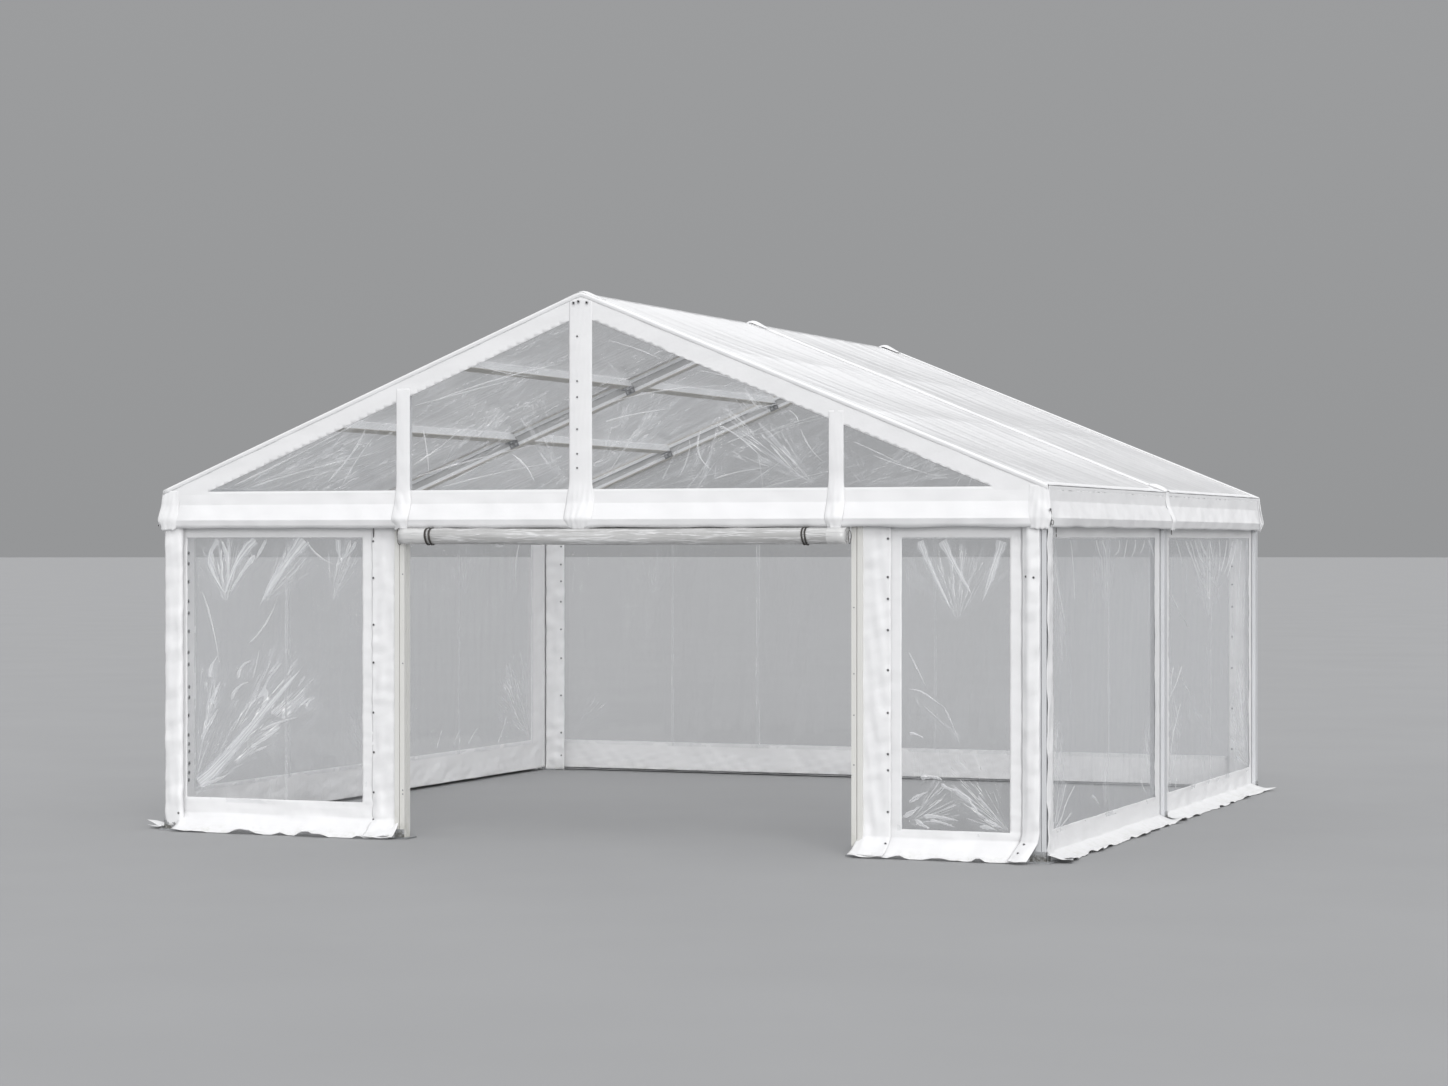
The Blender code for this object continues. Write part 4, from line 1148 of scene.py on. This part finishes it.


# Eyelets
# Plain metal eyelets, pressed into the white strips where they are buttoned or laced. The hole of each is
# painted near black: painted shade.


def metal_finish(name, bright, dark, roughness):
    material, shader, place = new_finish(name)
    spots = place.noise(60, 5, 0.6)
    place.feed(shader, {"Base Color": spots.rise(0.35, 0.70).blend(bright, dark), "Metallic": 0.85,
                        "Roughness": roughness + 0.2 * spots, "Normal": spots.bump(0.0003)})
    return material


def facing(point, toward):
    return Matrix.Translation(point) @ Vector(toward).to_track_quat("Z", "Y").to_matrix().to_4x4()


def repeated(name, unit, places, *finishes):
    """Copies of one small steel part, joined to one piece."""
    bm = bmesh.new()
    for place in places:
        mesh = bpy.data.meshes.new(name)
        moved = unit.copy()
        moved.transform(place)
        moved.to_mesh(mesh)
        moved.free()
        bm.from_mesh(mesh)
        bpy.data.meshes.remove(mesh)
    unit.free()
    bmesh.ops.recalc_face_normals(bm, faces=bm.faces)
    return add_piece(name, bm, finishes)


def stepped_disc(radius, depth, steps):
    """A disc whose top is inset in steps of width and height. Its inmost face gets the second finish."""
    bm = bmesh.new()
    bmesh.ops.create_cone(bm, cap_ends=True, segments=14, radius1=radius, radius2=radius, depth=depth)
    top = max(bm.faces, key=lambda face: face.calc_center_median().z)
    for width, height in steps:
        bmesh.ops.inset_individual(bm, faces=[top], thickness=width, depth=height)
    top.material_index = 1
    return bm


FORWARD = (0, -1, 0)
zinc = metal_finish("dull_zinc", (0.52, 0.52, 0.53), (0.36, 0.36, 0.37), 0.34)
# The inmost face of each eyelet, rivet and screw: a near-black disc of painted shade where the hole is
painted_shade_hole = metal_finish("painted_shade_hole", (0.03, 0.03, 0.03), (0.05, 0.045, 0.04), 0.6)
INNER_STUD_HEIGHTS = (1.95, 1.86, 1.71, 1.57, 1.40, 1.17, 0.93, 0.62, 0.31, 0.12)
STUD_HEIGHTS = {
    ("left_door_flap", -1.468): (1.90, 1.665, 1.364, 1.121, 0.80, 0.545, 0.288, 0.109),
    ("right_door_flap", 2.012): (1.915, 1.684, 1.553, 1.365, 1.124, 0.867, 0.619, 0.522, 0.271, 0.059),
    ("left_inner_cover", -2.822): INNER_STUD_HEIGHTS,
    ("right_inner_cover", 2.822): INNER_STUD_HEIGHTS,
    ("front_left_leg_cover", -2.897): (0.113,),
    ("front_right_leg_cover", 2.885): (0.10, 0.02),
    ("front_right_leg_cover", 2.877): (1.69,),
    ("front_right_leg_cover", 2.925): (1.685,),
    ("right_side_leg_cover", -2.875): (0.06,),
    ("left_front_border", -2.757): (0.31, 0.36, 0.42, 0.50, 0.55, 0.61, 0.74, 0.86, 0.93, 1.08, 1.16, 1.30,
                                    1.42, 1.50, 1.63, 1.75, 1.82),
}
spots = []
for (name, a), heights in STUD_HEIGHTS.items():
    axis, sign, form = cloth_surfaces[name]
    outward = np.array([0, sign, 0] if axis == "y" else [sign, 0, 0])
    if "inner" in name or "border" in name:
        outward = -outward
    size = Matrix.Scale(1.7 if "border" in name else 1.0, 4)
    for point in form(np.full(len(heights), a), np.array(heights)):
        spots.append(facing(point + 0.0016 * outward, outward) @ size)
eyelet = stepped_disc(0.0085, 0.0016, ((0.0012, 0.0012), (0.0018, 0.0), (0.0012, -0.0014)))
repeated("strip_eyelets", eyelet, spots, zinc, painted_shade_hole)
dots = [((-3.0295, -3.035, 2.004), (-0.3, -1, 0.1)), ((3.037, -3.040, 2.085), (1, -0.4, 0)),
        ((3.040, -0.010, 2.02), (1, -0.2, 0)), ((3.034, 2.99, 2.02), (1, 0.2, 0))]
dots += [((x, -3.0165, z), FORWARD) for x, z in ((-0.045, 3.388), (-0.012, 3.396), (0.045, 3.388))]
eyelet = stepped_disc(0.010, 0.003, ((0.0012, 0.0012), (0.0022, 0.0), (0.0012, -0.0014)))
repeated("valance_eyelets", eyelet, [facing(*dot) for dot in dots], zinc, painted_shade_hole)
rivet = stepped_disc(0.0065, 0.003, ((0.0008, 0.0010), (0.0012, 0.0), (0.0006, -0.0010)))
heights = (3.18, 2.90, 2.80, 2.60, 2.446, 2.358)
repeated("cover_rivets", rivet, [facing((-0.020, -3.0155, height), FORWARD) for height in heights],
         zinc, painted_shade_hole)


# Foot shoes
# Galvanised steel plates are bolted to the free faces of each leg and door post, over its base plate, and
# carry the tent on the ground. They are scratched, and darker in patches towards the ground.


def plates(*boxes):
    """Flat plates between pairs of corners, with their edges just broken."""
    bm = bmesh.new()
    for low, high in boxes:
        low, high = Vector(low), Vector(high)
        made = bmesh.ops.create_cube(bm, size=1)["verts"]
        bmesh.ops.scale(bm, verts=made, vec=high - low)
        bmesh.ops.translate(bm, verts=made, vec=(low + high) / 2)
    bmesh.ops.bevel(bm, geom=bm.edges[:], offset=0.0009, affect="EDGES", segments=2, profile=0.5, material=-1)
    return bm


def hex_bolt():
    """A washer with a hexagonal head on it."""
    bm = bmesh.new()
    bmesh.ops.create_cone(bm, cap_ends=True, segments=18, radius1=0.0105, radius2=0.0105, depth=0.002)
    head = bmesh.ops.create_cone(bm, cap_ends=True, segments=6, radius1=0.0075, radius2=0.0068, depth=0.006)
    bmesh.ops.translate(bm, verts=head["verts"], vec=(0, 0, 0.0042))
    return bm


galvanised, shader, place = new_finish("galvanised_steel")
height = place.axis(2)
spangle = place.add("TexVoronoi", {}, {"Vector": place, "Scale": 130.0}, 1)
zinc_tone = spangle.add("SeparateColor", {}, {0: spangle}).blend((0.40, 0.41, 0.42), (0.60, 0.61, 0.62))
# Darker, duller patches towards the ground
darker_near_ground = (1 - height.rise(0.02, 0.075)) * place.noise(45, 5, 0.7).rise(0.34, 0.58)
darker_near_ground = darker_near_ground * height.sum("LESS_THAN", height, 0.2)
place.feed(shader, {"Base Color": (0.85 * darker_near_ground).blend(zinc_tone, (0.07, 0.066, 0.05)),
                    "Metallic": 0.7 - 0.6 * darker_near_ground, "Roughness": 0.38 + 0.4 * darker_near_ground,
                    "Normal": (place.noise(160, 4) + darker_near_ground).bump(0.0008)})

# Measured from the middle of the leg or post: how far out each plate starts and ends
SHOE_FOOT, SHOE_TOP, POST_SHOE_TOP = 0.0085, 0.068, 0.060
SIDE_OUT, SIDE_IN = 0.0545, 0.0503
END_OUT, END_IN = 0.0445, 0.0403
BOLT_SEAT = 3.0055
POSTS_X = (-1.27, 1.82)
corner_shoe = plates(((-SIDE_OUT, -END_OUT, SHOE_FOOT), (-SIDE_IN, 0.040, SHOE_TOP)),
                     ((-SIDE_OUT, -END_OUT, SHOE_FOOT), (0.050, -END_IN, SHOE_TOP)),
                     ((-0.075, -0.064, SHOE_FOOT), (0.030, -0.0448, 0.0125)))
corners = [Matrix.Translation((LEG_X * x, LEG_Y * y, 0)) @ Matrix.Diagonal((-x, -y, 1, 1))
           for x in (-1, 1) for y in (-1, 1)]
repeated("corner_leg_shoes", corner_shoe, corners, galvanised)
middle_shoe = plates(((-SIDE_OUT, -0.036, SHOE_FOOT), (-SIDE_IN, 0.036, SHOE_TOP)),
                     ((SIDE_IN, -0.036, SHOE_FOOT), (SIDE_OUT, 0.036, SHOE_TOP)))
repeated("middle_leg_shoes", middle_shoe, [Matrix.Translation((x, 0, 0)) for x in (-LEG_X, LEG_X)],
         galvanised)
post_shoe = plates(((-0.0345, -END_OUT, SHOE_FOOT), (0.0345, -END_IN, POST_SHOE_TOP)),
                   ((-0.0345, END_IN, SHOE_FOOT), (0.0345, END_OUT, POST_SHOE_TOP)))
repeated("door_post_shoes", post_shoe, [Matrix.Translation((x, -LEG_Y, 0)) for x in POSTS_X], galvanised)
bolts = [facing((x * LEG_X + a, y * BOLT_SEAT, 0.043), (0, y, 0))
         for x in (-1, 1) for y in (-1, 1) for a in (-0.028, 0.026)]
bolts += [facing((x * BOLT_SEAT, y * LEG_Y, 0.043), (x, 0, 0)) for x in (-1, 1) for y in (-1, 0, 1)]
bolts += [facing((x, -BOLT_SEAT, 0.036), FORWARD) for x in POSTS_X]
repeated("shoe_bolts", hex_bolt(), bolts, galvanised)
screws = [facing((x, -3.0008, z), FORWARD)
          for x, heights in ((-1.246, (1.69, 1.12, 0.31, 0.285)), (1.802, (1.50, 1.10, 0.85, 0.55)))
          for z in heights]
screw = stepped_disc(0.0048, 0.0012, ((0.0008, 0.0008), (0.0018, 0.0006)))
repeated("door_post_screws", screw, screws, zinc, painted_shade_hole)


# Purlin brackets and frame plates
# Each purlin end rests on a small steel angle bolted to the side of its rafter. Plates are bolted on where
# the rafters meet the legs and each other.

# Where along the tent the rafters' inner faces lie, and which way each one looks
RAFTER_FACES = ((-2.92, 1), (-0.04, -1), (0.04, 1), (2.92, -1))
PLATE_BACK, PLATE_FRONT = 0.0005, 0.0045
HEAD_SEAT = 0.0052
BACKWARD = (0, 1, 0)


def fixed_to_face(x, y, z, way):
    """The seat of a part on a face of a rafter, turned half round where the face looks forward."""
    return Matrix.Translation((x, y, z)) @ Matrix.Rotation(0 if way > 0 else pi, 4, "Z")


bracket = plates(((-0.036, 0.0008, -0.100), (0.036, 0.0060, -0.0562)),
                 ((-0.040, 0.0008, -0.0602), (0.040, 0.075, -0.0562)))
seats, bolts = [], []
for side in (1, -1):
    for up_slope in PURLINS_UP_SLOPE:
        x = HALF_SPAN - up_slope * cos(PITCH)
        for y, way in RAFTER_FACES:
            seat = fixed_to_face(side * x, y, float(rafter_top(x)), side)
            seat = seat @ Matrix.Rotation(PITCH, 4, "Y") @ Matrix.Rotation(0 if way == side else pi, 4, "Z")
            seats.append(seat)
            bolts += [seat @ facing((a, 0.0055, -0.080), BACKWARD) for a in (-0.018, 0.018)]
            bolts.append(seat @ facing((0, 0.040, -0.0605), (0, 0, -1)))
bracket_steel = metal_finish("dark_bracket_steel", (0.22, 0.225, 0.23), (0.34, 0.345, 0.35), 0.45)
repeated("purlin_brackets", bracket, seats, bracket_steel)

ridge_plate = plates(((-0.14, PLATE_BACK, -0.062), (0.14, PLATE_FRONT, 0.0)))
cut_along(ridge_plate, (0, 0, 0), (1, 0, 0))
for vert in ridge_plate.verts:
    vert.co.z -= SLOPE * abs(vert.co.x)
ridges = [fixed_to_face(0, y, RIDGE - 0.032, way) for y, way in RAFTER_FACES]
repeated("ridge_plates", ridge_plate, ridges, galvanised)
eave_plate = plates(((-0.048, PLATE_BACK, -0.26), (0.048, PLATE_FRONT, -0.10)))
eaves = [fixed_to_face(x, y, EAVE, way) for x in (-LEG_X, LEG_X) for y, way in RAFTER_FACES]
repeated("eave_plates", eave_plate, eaves, galvanised)
for seat in ridges:
    bolts += [seat @ facing((a, HEAD_SEAT, -0.031 - SLOPE * abs(a)), BACKWARD)
              for a in (-0.105, -0.045, 0.045, 0.105)]
for seat in eaves:
    bolts += [seat @ facing((a, HEAD_SEAT, z), BACKWARD) for a in (-0.026, 0.026) for z in (-0.235, -0.125)]
repeated("frame_bolts", hex_bolt(), bolts, galvanised)
